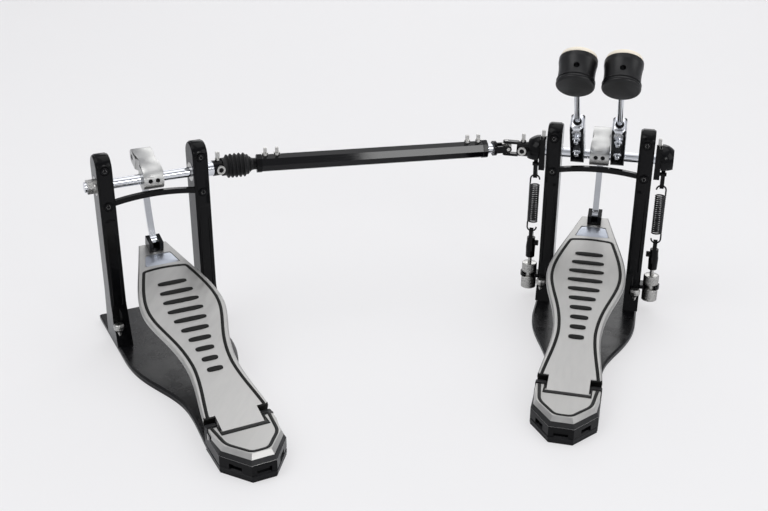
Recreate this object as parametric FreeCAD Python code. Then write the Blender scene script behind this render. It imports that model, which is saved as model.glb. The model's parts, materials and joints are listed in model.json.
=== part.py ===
import FreeCAD, Part
import os
from math import atan2, cos, degrees, hypot, pi, radians, sin, sqrt

V = FreeCAD.Vector

# Frame: millimetres, +Z up, floor at z = 0. The origin lies on the floor under the middle of the
# main pedal's axle. +X runs along that axle to the player's right, +Y towards the drum.

# Placing of the second pedal, on the floor to the left
SECOND_X = -491.0
SECOND_Y = -218.0
SECOND_YAW = 41.6

# Base plate, mat and heel
MAT_T = 2.0
BASE_T = 6.0
BASE_BACK_Y = 70.0
BASE_HALF_WIDE = 63.0
BASE_HALF_WAIST = 33.0
BASE_WIDE_END_Y = -55.0
BASE_WAIST_Y = -178.0
HEEL_HALF = 35.0
HEEL_SIDE_END_Y = -306.0
HEEL_END_Y = -337.0
HEEL_END_HALF = 13.0
BASE_CHAMFER = 2.0
MAT_INSET = 1.0
HEEL_BLOCK_T = 17.0
HEEL_PLATE_T = 4.0
HEEL_PLATE_FRONT_GAP = 2.0
HEEL_RIM_Z = 19.0
HEEL_BEVEL_FRONT = 1.0
HEEL_BEVEL_SIDE = 5.5
HEEL_BEVEL_END = 3.0
HEEL_BEVEL_REAR = 6.0
HEEL_ARM_T = 3.8
HEEL_PLATE_WALL = 3.0
HEEL_RECESS_W = 15.0
HEEL_RECESS_H = 6.0
HEEL_RECESS_DEPTH = 4.0

# Heel hinge of the footboard
HINGE_Y = -272.0
HINGE_Z = 20.5
HINGE_PIN_R = 3.5
HINGE_FIT = 0.06
EAR_T = 11.0
EAR_ROUND = 9.0

# Posts, bearings and tie bar
AXLE_Z = 200.0
POST_INSET = 8.0
POST_W = 18.0
POST_D = 30.0
POST_TOP_Z = 236.0
POST_SHOULDER_Z = 222.0
POST_FOOT_FRONT = 28.0
POST_FOOT_BACK = 20.0
POST_FOOT_Z = 52.0
POST_EDGE = 2.0
BEARING_R = 11.0
SEAT_FIT = 0.02
CAP_SCREW_RISE = 21.0
CAP_SCREW_R = 4.2
CAP_SCREW_HEAD = 2.5
CAP_SCREW_SHANK_R = 2.5
CAP_SCREW_SHANK = 9.0
TIE_T = 6.0
TIE_D = 6.0
TIE_END_Z = 178.0
TIE_RISE = 4.0
TIE_Y = -13.5
SPUR_R = 3.0
SPUR_HEAD_R = 6.0
SPUR_HEAD_T = 5.0
SPUR_TOP_Z = 34.0
SPUR_Y = -21.0
SPUR_SIDE = 4.0
SPUR_ROOM = 1.0

# Axles and what is clamped on them
AXLE_R = 6.0
RUN_FIT = 0.05
CLAMP_FIT = 0.02
TIP_GAP = 0.3
LAP = 1.0
AXLE_END_IN = 3.0
AXLE_TAIL = 12.0
AXLE_COLLAR = 2.4
END_WASHER_T = 2.2
END_NUT_T = 7.0
HUB_WALL = 2.5
SEAT_STEP = 0.1
KEY_HALF_SHARE = 0.66
SPIGOT_R = 4.0
SPIGOT_L = 24.0
AXLE_SPLIT_X = -14.5
AXLE_SPLIT_GAP = 0.4
CAM_HALF = 11.5
CAM_RING_R = 13.0
CAM_PIN_R = 2.4
CAM_REACH = 40.0
CAM_RISE = 22.5
CAM_EYE_R = 8.0
CAM_SLOT_HALF = 4.2
CAM_SLOT_WALL = 2.0
CAM_NECK_AT = 19.0
CAM_NECK_HALF = 8.0
CAM_NECK_R = 9.0
SET_SCREW_R = 2.6
SET_SCREW_X = 4.2
SET_SCREW_L = 4.0

# Strap link, clevis and footboard
STRAP_HALF = 3.7
STRAP_T = 4.0
STRAP_BOW = 5.0
STRAP_EYE_R = 5.2
STRAP_TOP_EYE_R = 7.0
STRAP_TOP_PLAY = 2.1
CLEVIS_HALF = 8.5
CLEVIS_WALL = 4.6
CLEVIS_L = 18.0
CLEVIS_PIN_R = 2.4
CLEVIS_PIN_Y = 18.0
CLEVIS_PIN_RISE = 7.4
CLEVIS_FLOOR = 1.4
CLEVIS_CROWN = 2.4
BOARD_T = 5.0
BOARD_EDGE = 1.6
BOARD_HEEL_TOP_Z = 32.0
BOARD_HEEL_Y = -267.0
BOARD_TOE_TOP_Z = 110.0
BOARD_TOE_Y = 24.0
BOARD_TOE_HALF = 16.5
BOARD_BALL_HALF = 46.0
BOARD_WAIST_HALF = 27.0
BOARD_HEEL_INSET = 0.5
BOARD_SIDE_START = 7.0
TONGUE_GAP = 2.0
BOARD_TONGUE_BACK = 9.0
BARREL_R = 6.6
RECESS_FRONT = 279.0
RECESS_BACK = 258.0
RECESS_FRONT_HALF = 15.0
RECESS_BACK_HALF = 21.0
RECESS_DEPTH = 1.2

# Beaters
BEATER_LEAN = 45.0
LEFT_BEATER_X = -26.5
RIGHT_BEATER_X = 21.5
HOLDER_HALF = 8.0
HOLDER_FRONT = 11.0
HOLDER_ABOVE = 79.0
HOLDER_CROWN = 4.0
SOCKET_FLOOR = 6.0
COLLAR_R = 5.0
COLLAR_L = 1.2
ROD_R = 3.2
ROD_START = 30.0
ROD_TOP_BELOW = 12.0
HEAD_AT = 182.0
HEAD_R = 20.8
HEAD_WAIST = 1.2
HEAD_REAR = 18.0
HEAD_DOME = 1.8
HEAD_FRONT = 17.3
HEAD_ROUND = 2.8
GROOVE_STEP = 3.4
HEAD_FRONT_BAND = 5.0
GROOVE_W = 0.8
GROOVE_DEPTH = 0.6
FELT_T = 5.6
FELT_INSET = 1.2
FELT_ROUND = 2.0
HOLDER_SCREW_AT = (28.0, 59.0)

# Spring side: rocker, hanger, spring, hook and tension nut
ROCKER_GAP = 2.0
ROCKER_T = 7.0
ROCKER_HALF = 9.0
ROCKER_TOP = 16.0
DOME_R = 19.0
DOME_L = 14.0
DOME_CUT = 8.0
LEVER_PIN_DROP = 18.0
LEVER_PIN_R = 2.4
LEVER_PIN_PROUD = 1.5
LEVER_HALF = 6.0
KEY_SCREW_R = 3.2
KEY_SCREW_HEAD = 10.0
KEY_COLLAR_T = 2.6
KEY_SCREW_SHANK_R = 2.0
KEY_SCREW_SHANK = 6.0
SPRING_OUT = 13.0
HANGER_T = 5.0
HANGER_HALF = 4.4
HANGER_DROP = 15.0
HANGER_EYE_R = 2.3
WIRE_R = 1.0
COIL_R = 5.7
COIL_TURNS = 20
COIL_PITCH = 2.55
HOOK_BEND = 2.6
HOOK_NECK = 3.0
HOOK_SEAT = 0.5
CLAW_T = 5.0
CLAW_HALF = 4.6
CLAW_NECK = 26.0
CUP_R = 5.2
CUP_L = 10.0
CUP_RISE = 17.0
THREAD_R = 2.4
THREAD_FIT = 0.2
THREAD_END_Z = 18.0
NUT_R = 9.6
NUT_NECK_R = 6.0
NUT_BOTTOM_Z = 14.0
NUT_TOP_Z = 48.0
RING_Z = 30.6
RING_T = 5.0
RING_R = 11.0
RING_PLAY = 0.25

# Hoop clamp at the drum edge of the main base
HOOP_GAP = 12.0
HOOP_SCREW_Y = 40.0
HOOP_SCREW_R = 4.0
HOOP_SCREW_TOP_Z = 50.0
HOOP_JAW_T = 8.0
HOOP_JAW_HALF = 22.0
HOOP_JAW_FRONT_Y = 28.0
HOOP_WING_HALF = 18.0
HOOP_WING_T = 5.0
HOOP_WING_LOW = 9.0
HOOP_WING_HIGH = 5.0
HOOP_WING_ROUND = 4.0
HOOP_GUIDE_X = 15.0
HOOP_GUIDE_R = 3.0
HOOP_GUIDE_TOP_Z = 38.0

# Drive link between the pedals
SECOND_HUB_GAP = 9.0
HUB_L = 14.0
HUB_R = 9.2
HUB_DISC_R = 5.2
JOINT_REACH = 14.0
FORK_BASE = 4.0
EAR_IN = 6.2
EAR_OUT = 9.2
EAR_HALF = 4.2
CROSS_HALF = 5.0
CROSS_PIN_R = 2.2
CROSS_FIT = 0.05
CROSS_PLAY = 0.3
TUBE_FLATS = 20.0
TUBE_START = 25.0
TUBE_END_GAP = 26.0
LINK_ROD_R = 6.0
LINK_ROD_IN = 110.0
LINK_STUB_IN = 40.0
LINK_NECK_R = 7.0
LINK_FIT = 0.1
TUBE_SCREW_AT = (11.0, 25.0)
TUBE_SCREW_R = 3.0
TUBE_NUT_R = 3.8
TUBE_NUT_T = 3.0
TUBE_SCREW_HEAD = 9.0
TUBE_SPOT_R = 4.4
BOOT_START = -7.0
BOOT_RIBS = 5
BOOT_PITCH = 4.4
BOOT_CREST_R = 15.2
BOOT_ROOT_R = 13.2
BOOT_BORE_R = 12.2
BOOT_END_R = 10.6
BOOT_END_T = 2.4

# Values worked out from the driving sizes
BASE_BOTTOM = MAT_T
BASE_TOP = MAT_T + BASE_T
HEEL_TOP = BASE_TOP + HEEL_BLOCK_T
HEEL_PLATE_HALF = HEEL_HALF - HEEL_BEVEL_FRONT
HEEL_PLATE_SIDE_HALF = HEEL_HALF - HEEL_BEVEL_SIDE
HEEL_PLATE_END_HALF = HEEL_END_HALF - HEEL_BEVEL_END
HEEL_PLATE_END_Y = HEEL_END_Y + HEEL_BEVEL_REAR
HEEL_PLATE_TOP = HEEL_TOP + HEEL_PLATE_T
EAR_IN_X = HEEL_HALF - EAR_T
BOARD_HEEL_HALF = HEEL_HALF - BOARD_HEEL_INSET
BOARD_TONGUE_HALF = EAR_IN_X - TONGUE_GAP
POST_X = BASE_HALF_WIDE - POST_INSET
POST_IN = POST_X - POST_W / 2
POST_OUT = POST_X + POST_W / 2
HALF_D = POST_D / 2
ROCKER_IN_X = POST_OUT + ROCKER_GAP
ROCKER_OUT_X = ROCKER_IN_X + ROCKER_T + DOME_L
SPRING_X = POST_OUT + SPRING_OUT
MAIN_JOINT_X = -(ROCKER_OUT_X + HUB_L + JOINT_REACH)
SECOND_JOINT_X = POST_OUT + SECOND_HUB_GAP + HUB_L + JOINT_REACH
BOARD_SLOPE = degrees(atan2(BOARD_TOE_TOP_Z - BOARD_HEEL_TOP_Z, BOARD_TOE_Y - BOARD_HEEL_Y))
BOARD_COS = cos(radians(BOARD_SLOPE))
BOARD_SIN = sin(radians(BOARD_SLOPE))
CAM_PIN_Y = CAM_REACH * cos(radians(CAM_RISE))
CAM_PIN_Z = AXLE_Z + CAM_REACH * sin(radians(CAM_RISE))
LEVER_PIN_Z = AXLE_Z - LEVER_PIN_DROP
EYE_Z = LEVER_PIN_Z - HANGER_DROP
HOOK_TOP_Z = EYE_Z - HOOK_SEAT
COIL_TOP_Z = HOOK_TOP_Z - COIL_R - HOOK_NECK - HOOK_BEND
COIL_BOTTOM_Z = COIL_TOP_Z - COIL_TURNS * COIL_PITCH
CLAW_EYE_Z = COIL_BOTTOM_Z - HOOK_BEND - HOOK_NECK - COIL_R - HOOK_SEAT

WHOLE = FreeCAD.Placement()
X_AXIS = V(1, 0, 0)
Z_AXIS = V(0, 0, 1)
SECOND_PLACE = FreeCAD.Placement(V(SECOND_X, SECOND_Y, 0), FreeCAD.Rotation(Z_AXIS, SECOND_YAW))
AXLE_CENTRE = V(0, 0, AXLE_Z)


# Small building functions

def box(x0, x1, y0, y1, z0, z1):
    return Part.makeBox(x1 - x0, y1 - y0, z1 - z0, V(x0, y0, z0))


def bar(radius, start, end):
    return Part.makeCylinder(radius, (end - start).Length, start, end - start)


def bar_x(radius, x0, x1, y, z):
    return bar(radius, V(x0, y, z), V(x1, y, z))


def bar_z(radius, z0, z1, x, y):
    return bar(radius, V(x, y, z0), V(x, y, z1))


def join(*shapes):
    return shapes[0].fuse(list(shapes[1:])).removeSplitter()


def mirrored(shape):
    """The shape's mirror image across the plane x = 0."""
    return shape.mirror(V(0, 0, 0), X_AXIS)


def both_sides(shape):
    """The shape and its mirror image, as two solids."""
    return Part.makeCompound([shape, mirrored(shape)])


def plate_yz(points, x0, x1):
    """A flat plate whose outline is drawn in the YZ plane, from x0 to x1."""
    corners = [V(x0, y, z) for y, z in points]
    face = Part.Face(Part.makePolygon(corners + corners[:1]))
    return face.extrude(V(x1 - x0, 0, 0))


def plate_from_half(half, z0, z1):
    """A symmetrical plate: half holds edges of the +X side, from back to front."""
    other = [mirrored(edge) for edge in half]
    first = half[0].firstVertex(True).Point
    last = half[-1].lastVertex(True).Point
    closing = [
        Part.makeLine(V(-first.x, first.y, 0), first),
        Part.makeLine(last, V(-last.x, last.y, 0)),
    ]
    wire = Part.Wire(Part.__sortEdges__(half + other + closing))
    face = Part.Face(wire)
    face.translate(V(0, 0, z0))
    return face.extrude(V(0, 0, z1 - z0))


def smooth(points, start_way, end_way):
    """A smooth edge through points, with its directions at both ends."""
    curve = Part.BSplineCurve()
    curve.interpolate(
        Points=[V(x, y, 0) for x, y in points], InitialTangent=V(*start_way, 0), FinalTangent=V(*end_way, 0)
    )
    return curve.toShape()


def top_edges(shape, z):
    return [e for e in shape.Edges if abs(e.BoundBox.ZMin - z) < 1e-4 and abs(e.BoundBox.ZMax - z) < 1e-4]


def leaned(shape):
    """Turns a piece drawn upright over the axle back to the beater's rest lean."""
    return shape.rotate(AXLE_CENTRE, X_AXIS, BEATER_LEAN)


def sloped(shape):
    """Turns a piece drawn flat, with the hinge at y = 0, on to the footboard's rest slope."""
    shape.rotate(V(0, 0, 0), X_AXIS, BOARD_SLOPE)
    shape.translate(V(0, BOARD_HEEL_Y, BOARD_HEEL_TOP_Z))
    return shape


# Frame pieces, the same on both pedals

def base_half(inset):
    """The base's +X edge, from the drum side to the heel, drawn in by inset."""
    wide = Part.makeLine(
        V(BASE_HALF_WIDE - inset, BASE_BACK_Y - inset, 0),
        V(BASE_HALF_WIDE - inset, BASE_WIDE_END_Y, 0),
    )
    side = smooth([
        (BASE_HALF_WIDE - inset, BASE_WIDE_END_Y),
        (BASE_HALF_WAIST - inset, BASE_WAIST_Y),
        (HEEL_HALF - inset, HINGE_Y),
        (HEEL_HALF - inset, HEEL_SIDE_END_Y),
    ], (0, -1), (0, -1))
    corner = Part.makeLine(
        V(HEEL_HALF - inset, HEEL_SIDE_END_Y, 0),
        V(HEEL_END_HALF - inset, HEEL_END_Y + inset, 0),
    )
    return [wide, side, corner]


def base_plate():
    plate = plate_from_half(base_half(0.0), BASE_BOTTOM, BASE_TOP)
    plate = plate.makeChamfer(BASE_CHAMFER, top_edges(plate, BASE_TOP))
    for side in (-1, 1):
        plate = plate.cut(bar_z(SPUR_R + RUN_FIT, 0, BASE_TOP, side * (POST_X + SPUR_SIDE), SPUR_Y))
    return plate


def base_mat():
    mat = plate_from_half(base_half(MAT_INSET), 0, MAT_T)
    for side in (-1, 1):
        mat = mat.cut(bar_z(SPUR_R + RUN_FIT, 0, MAT_T, side * (POST_X + SPUR_SIDE), SPUR_Y))
    return mat


def post():
    """The +X post: a cast upright with a flared foot and a rounded bearing head."""
    outline = [
        (-POST_FOOT_FRONT, BASE_TOP), (POST_FOOT_BACK, BASE_TOP), (HALF_D, POST_FOOT_Z),
        (HALF_D, POST_SHOULDER_Z),
    ]
    back = [V(POST_IN, y, z) for y, z in outline]
    crown = Part.Arc(
        V(POST_IN, HALF_D, POST_SHOULDER_Z),
        V(POST_IN, 0, POST_TOP_Z),
        V(POST_IN, -HALF_D, POST_SHOULDER_Z),
    ).toShape()
    front = [V(POST_IN, -HALF_D, POST_SHOULDER_Z), V(POST_IN, -HALF_D, POST_FOOT_Z), back[0]]
    edges = [Part.makeLine(a, b) for a, b in zip(back, back[1:])]
    edges.append(crown)
    edges += [Part.makeLine(a, b) for a, b in zip(front, front[1:])]
    solid = Part.Face(Part.Wire(edges)).extrude(V(POST_W, 0, 0))
    rims = [e for e in solid.Edges if e.BoundBox.XLength < 1e-6 and e.BoundBox.ZMin > BASE_TOP + 1e-3]
    solid = solid.makeFillet(POST_EDGE, rims)
    solid = solid.cut(bar_x(BEARING_R, POST_IN, POST_OUT, 0, AXLE_Z))
    for z in cap_screw_heights():
        face = V(POST_X, -HALF_D, z)
        solid = solid.cut(bar(CAP_SCREW_SHANK_R + SEAT_FIT, face, face + V(0, CAP_SCREW_SHANK, 0)))
    spur_x = POST_X + SPUR_SIDE
    room_z = SPUR_TOP_Z - SPUR_HEAD_T - SPUR_ROOM
    spur_room = bar_z(SPUR_HEAD_R + SPUR_ROOM, room_z, POST_TOP_Z, spur_x, SPUR_Y)
    spur_room = spur_room.common(box(POST_IN, 2 * POST_OUT, 2 * SPUR_Y, -HALF_D, 0, POST_TOP_Z))
    spur_hole = bar_z(SPUR_R + RUN_FIT, 0, SPUR_TOP_Z, spur_x, SPUR_Y)
    return solid.cut([spur_room, spur_hole])


def cap_screw_heights():
    return (AXLE_Z + CAP_SCREW_RISE, AXLE_Z - CAP_SCREW_RISE)


def bearing():
    ring = bar_x(BEARING_R - SEAT_FIT, POST_IN, POST_OUT, 0, AXLE_Z)
    return ring.cut(bar_x(AXLE_R + RUN_FIT, POST_IN, POST_OUT, 0, AXLE_Z))


def tie_bar():
    """An arched bar between the posts, just below the axle."""
    y0 = TIE_Y
    low = Part.Arc(V(-POST_IN, y0, TIE_END_Z), V(0, y0, TIE_END_Z + TIE_RISE), V(POST_IN, y0, TIE_END_Z))
    top_z = TIE_END_Z + TIE_T
    high = Part.Arc(V(POST_IN, y0, top_z), V(0, y0, top_z + TIE_RISE), V(-POST_IN, y0, top_z))
    sides = [
        Part.makeLine(V(POST_IN, y0, TIE_END_Z), V(POST_IN, y0, top_z)),
        Part.makeLine(V(-POST_IN, y0, top_z), V(-POST_IN, y0, TIE_END_Z)),
    ]
    wire = Part.Wire([low.toShape(), sides[0], high.toShape(), sides[1]])
    return Part.Face(wire).extrude(V(0, TIE_D, 0))


def heel_front_y():
    return HINGE_Y - BOARD_TONGUE_BACK - HEEL_PLATE_FRONT_GAP


def heel_ring(z, half, side_half, end_half, end_y):
    """One level of the heel's six-sided outline, as a closed wire."""
    right = [(half, heel_front_y()), (side_half, HEEL_SIDE_END_Y), (end_half, end_y)]
    corners = [V(x, y, z) for x, y in right] + [V(-x, y, z) for x, y in right[::-1]]
    return Part.makePolygon(corners + corners[:1])


def heel_wall():
    """The heel block's upright part, up to the rim that carries the heel plate."""
    foot = heel_ring(BASE_TOP, HEEL_HALF, HEEL_HALF, HEEL_END_HALF, HEEL_END_Y)
    return Part.Face(foot).extrude(V(0, 0, HEEL_RIM_Z - BASE_TOP))


def heel_core():
    """The block's upper part, which fills the hollow of the heel plate."""
    wall = HEEL_PLATE_WALL
    low = heel_ring(HEEL_RIM_Z, HEEL_HALF - wall, HEEL_HALF - wall, HEEL_END_HALF - wall / 2,
                    HEEL_END_Y + wall)
    high = heel_ring(HEEL_TOP, HEEL_PLATE_HALF - wall, HEEL_PLATE_SIDE_HALF - wall,
                     HEEL_PLATE_END_HALF - wall / 2, HEEL_PLATE_END_Y + wall)
    return Part.makeLoft([low, high], True, True)


def heel_arm(side, half):
    """The heel plate's forward arm on one side, which covers the rear of the hinge ear."""
    x0, x1 = sorted((side * EAR_IN_X, side * half))
    return box(x0, x1, heel_front_y(), HINGE_Y, HEEL_PLATE_TOP - HEEL_ARM_T, HEEL_PLATE_TOP)


def heel_block():
    """The block that carries the heel plate, with a hinge ear on each side."""
    body = join(heel_wall(), heel_core())
    for side in (-1, 1):
        x0, x1 = sorted((side * EAR_IN_X, side * HEEL_HALF))
        ear = box(x0, x1, heel_front_y(), HINGE_Y + EAR_ROUND, BASE_TOP, HINGE_Z)
        ear = join(ear, bar_x(EAR_ROUND, x0, x1, HINGE_Y, HINGE_Z).common(
            box(x0, x1, heel_front_y(), HINGE_Y + EAR_ROUND, BASE_TOP, HINGE_Z + EAR_ROUND)))
        seat = heel_arm(side, HEEL_HALF)
        seat = join(seat, seat.translated(V(0, 0, HEEL_ARM_T)))
        body = join(body, ear.cut(seat))
    body = body.cut(bar_x(HINGE_PIN_R + SEAT_FIT, -HEEL_HALF, HEEL_HALF, HINGE_Y, HINGE_Z))
    slant = degrees(atan2(HEEL_SIDE_END_Y - HEEL_END_Y, HEEL_HALF - HEEL_END_HALF))
    middle_x = (HEEL_HALF + HEEL_END_HALF) / 2
    middle_y = (HEEL_SIDE_END_Y + HEEL_END_Y) / 2
    for x, y, turn in ((0, HEEL_END_Y, 0), (middle_x, middle_y, slant), (-middle_x, middle_y, -slant)):
        notch = box(-HEEL_RECESS_W / 2, HEEL_RECESS_W / 2, -HEEL_RECESS_DEPTH, HEEL_RECESS_DEPTH,
                    BASE_TOP, BASE_TOP + HEEL_RECESS_H)
        notch.Placement = FreeCAD.Placement(V(x, y, 0), FreeCAD.Rotation(Z_AXIS, turn))
        body = body.cut(notch)
    return body


def heel_plate():
    """A dished metal cap on the heel block: a flat top with a skirt that slopes out to the block's rim."""
    low = heel_ring(HEEL_RIM_Z, HEEL_HALF, HEEL_HALF, HEEL_END_HALF, HEEL_END_Y)
    high = heel_ring(HEEL_PLATE_TOP, HEEL_PLATE_HALF, HEEL_PLATE_SIDE_HALF, HEEL_PLATE_END_HALF,
                     HEEL_PLATE_END_Y)
    cap = Part.makeLoft([low, high], True, True).cut(heel_core())
    return join(cap, heel_arm(-1, HEEL_PLATE_HALF), heel_arm(1, HEEL_PLATE_HALF))


def frame_fasteners():
    """The post screws, floor spurs and hinge pin of one pedal."""
    pieces = [bar_x(HINGE_PIN_R, -HEEL_HALF, HEEL_HALF, HINGE_Y, HINGE_Z)]
    for side in (-1, 1):
        for z in cap_screw_heights():
            face = V(side * POST_X, -HALF_D, z)
            head = bar(CAP_SCREW_R, face, face - V(0, CAP_SCREW_HEAD, 0))
            pieces.append(join(head, bar(CAP_SCREW_SHANK_R, face, face + V(0, CAP_SCREW_SHANK, 0))))
        x = side * (POST_X + SPUR_SIDE)
        stem = bar_z(SPUR_R, MAT_T, SPUR_TOP_Z, x, SPUR_Y)
        pieces.append(join(stem, bar_z(SPUR_HEAD_R, SPUR_TOP_Z - SPUR_HEAD_T, SPUR_TOP_Z, x, SPUR_Y)))
    return pieces


# Footboard and the link that pulls the cam

def board_height(y):
    """Height of the footboard's top face at a place along the pedal."""
    return BOARD_HEEL_TOP_Z + (y - BOARD_HEEL_Y) * BOARD_SIN / BOARD_COS


def footboard():
    """The sloping footboard, widest at the ball of the foot, with a hinge tongue at the heel."""
    length = (BOARD_TOE_Y - BOARD_HEEL_Y) / BOARD_COS
    start = BOARD_SIDE_START
    side = smooth([
        (BOARD_TOE_HALF, length),
        (BOARD_BALL_HALF * 0.69, length * 0.83),
        (BOARD_BALL_HALF, length * 0.575),
        (BOARD_WAIST_HALF * 1.22, length * 0.4),
        (BOARD_WAIST_HALF, length * 0.25),
        (BOARD_HEEL_HALF, start),
    ], (0.3, -1), (0.1, -1))
    board = plate_from_half([side], -BOARD_T, 0)
    board = board.makeChamfer(BOARD_EDGE, top_edges(board, 0))
    tongue_back = (HINGE_Y - BOARD_TONGUE_BACK - BOARD_HEEL_Y) / BOARD_COS
    tongue = box(-BOARD_TONGUE_HALF, BOARD_TONGUE_HALF, tongue_back, start + BOARD_EDGE + LAP, -BOARD_T, 0)
    board = join(board, tongue)
    corners = [
        V(RECESS_BACK_HALF, RECESS_BACK, 0), V(RECESS_FRONT_HALF, RECESS_FRONT, 0),
        V(-RECESS_FRONT_HALF, RECESS_FRONT, 0), V(-RECESS_BACK_HALF, RECESS_BACK, 0),
    ]
    recess = Part.Face(Part.makePolygon(corners + corners[:1])).extrude(V(0, 0, -RECESS_DEPTH))
    board = sloped(board.cut(recess))
    barrel = bar_x(BARREL_R, -BOARD_TONGUE_HALF, BOARD_TONGUE_HALF, HINGE_Y, HINGE_Z)
    web = box(-BOARD_TONGUE_HALF, BOARD_TONGUE_HALF, HINGE_Y - BARREL_R, HINGE_Y + BARREL_R,
              HINGE_Z, board_height(HINGE_Y) - BOARD_T / 2)
    board = join(board, barrel, web)
    bore = bar_x(HINGE_PIN_R + HINGE_FIT, -BOARD_TONGUE_HALF, BOARD_TONGUE_HALF, HINGE_Y, HINGE_Z)
    return board.cut(bore)


def clevis_pin_z():
    return board_height(CLEVIS_PIN_Y) + CLEVIS_PIN_RISE / BOARD_COS


def toe_clevis():
    """A forked block on the toe with the cross pin that holds the strap."""
    along = (CLEVIS_PIN_Y - BOARD_HEEL_Y) * BOARD_COS + (clevis_pin_z() - BOARD_HEEL_TOP_Z) * BOARD_SIN
    rise = (clevis_pin_z() - BOARD_HEEL_TOP_Z) * BOARD_COS - (CLEVIS_PIN_Y - BOARD_HEEL_Y) * BOARD_SIN
    top = rise + CLEVIS_PIN_R + CLEVIS_CROWN
    end = (BOARD_TOE_Y - BOARD_HEEL_Y) / BOARD_COS
    block = box(-CLEVIS_HALF, CLEVIS_HALF, end - CLEVIS_L, end, 0, top)
    slot_half = CLEVIS_HALF - CLEVIS_WALL
    block = block.cut(box(-slot_half, slot_half, end - CLEVIS_L, end, CLEVIS_FLOOR, top))
    block = block.cut(bar_x(CLEVIS_PIN_R + SEAT_FIT, -CLEVIS_HALF, CLEVIS_HALF, along, rise))
    pin = bar_x(CLEVIS_PIN_R, -CLEVIS_HALF, CLEVIS_HALF, along, rise)
    return Part.makeCompound([sloped(block), sloped(pin)])


def strap():
    """A bowed flat link from the clevis pin up to the cam pin, with an eye at each end."""
    low = V(-STRAP_HALF, CLEVIS_PIN_Y, clevis_pin_z())
    high = V(-STRAP_HALF, CAM_PIN_Y, CAM_PIN_Z)
    along = (high - low).normalize()
    across = V(0, along.z, -along.y)
    middle = (low + high) * 0.5 + across * STRAP_BOW
    half = across * (STRAP_T / 2)
    outer = Part.Arc(low + half, middle + half, high + half)
    inner = Part.Arc(high - half, middle - half, low - half)
    wire = Part.Wire([
        outer.toShape(), Part.makeLine(high + half, high - half),
        inner.toShape(), Part.makeLine(low - half, low + half),
    ])
    width = V(2 * STRAP_HALF, 0, 0)
    body = Part.Face(wire).extrude(width)
    ends = [bar(STRAP_EYE_R, low, low + width), bar(STRAP_TOP_EYE_R, high, high + width)]
    holes = [
        bar(CLEVIS_PIN_R + HINGE_FIT, low, low + width),
        bar(CAM_PIN_R + STRAP_TOP_PLAY, high, high + width),
    ]
    return join(body, *ends).cut(holes)


# Axle pieces

def cam():
    """A clamp round the axle with a forked arm towards the drum that carries the cross pin."""
    ring = bar_x(CAM_RING_R, -CAM_HALF, CAM_HALF, 0, AXLE_Z)
    arm = plate_yz([
        (-CAM_RING_R * 0.6, AXLE_Z + CAM_RING_R * 0.8),
        (-CAM_RING_R * 0.2, AXLE_Z - CAM_RING_R * 0.5),
        (CAM_PIN_Y + CAM_EYE_R * 0.6, CAM_PIN_Z - CAM_EYE_R * 0.8),
        (CAM_PIN_Y + CAM_EYE_R * 0.2, CAM_PIN_Z + CAM_EYE_R * 0.98),
    ], -CAM_HALF, CAM_HALF)
    eye = bar_x(CAM_EYE_R, -CAM_HALF, CAM_HALF, CAM_PIN_Y, CAM_PIN_Z)
    body = join(ring, arm, eye)
    slot = box(-CAM_SLOT_HALF, CAM_SLOT_HALF, CAM_RING_R + CAM_SLOT_WALL, CAM_REACH * 2, AXLE_Z - CAM_REACH,
               AXLE_Z + CAM_REACH * 2)
    body = body.cut([slot, cam_scoop(-1), cam_scoop(1)])
    body = body.cut(bar_x(AXLE_R + CLAMP_FIT, -CAM_HALF, CAM_HALF, 0, AXLE_Z))
    pin = bar_x(CAM_PIN_R, -CAM_HALF, CAM_HALF, CAM_PIN_Y, CAM_PIN_Z)
    body = body.cut(bar_x(CAM_PIN_R + SEAT_FIT, -CAM_HALF, CAM_HALF, CAM_PIN_Y, CAM_PIN_Z))
    for x in (-SET_SCREW_X, SET_SCREW_X):
        body = body.cut(bar(SET_SCREW_R + SEAT_FIT, V(x, -CAM_RING_R - LAP, AXLE_Z), V(x, -AXLE_R, AXLE_Z)))
    return Part.makeCompound([body, pin])


def cam_scoop(side):
    """A round cut in one flank of the arm, so that it has a neck above the clamp."""
    along = V(0, cos(radians(CAM_RISE)), sin(radians(CAM_RISE)))
    across = V(0, -along.z, along.y)
    middle = AXLE_CENTRE + along * CAM_NECK_AT + V(side * (CAM_NECK_HALF + CAM_NECK_R), 0, 0)
    return bar(CAM_NECK_R, middle - across * CAM_REACH, middle + across * CAM_REACH)


def set_screw(x):
    """One of the cam's two screws: it bears on the axle from the player's side, deep in its hole."""
    inner = V(x, -AXLE_R - CLAMP_FIT, AXLE_Z)
    return bar(SET_SCREW_R, inner - V(0, SET_SCREW_L, 0), inner)


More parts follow.
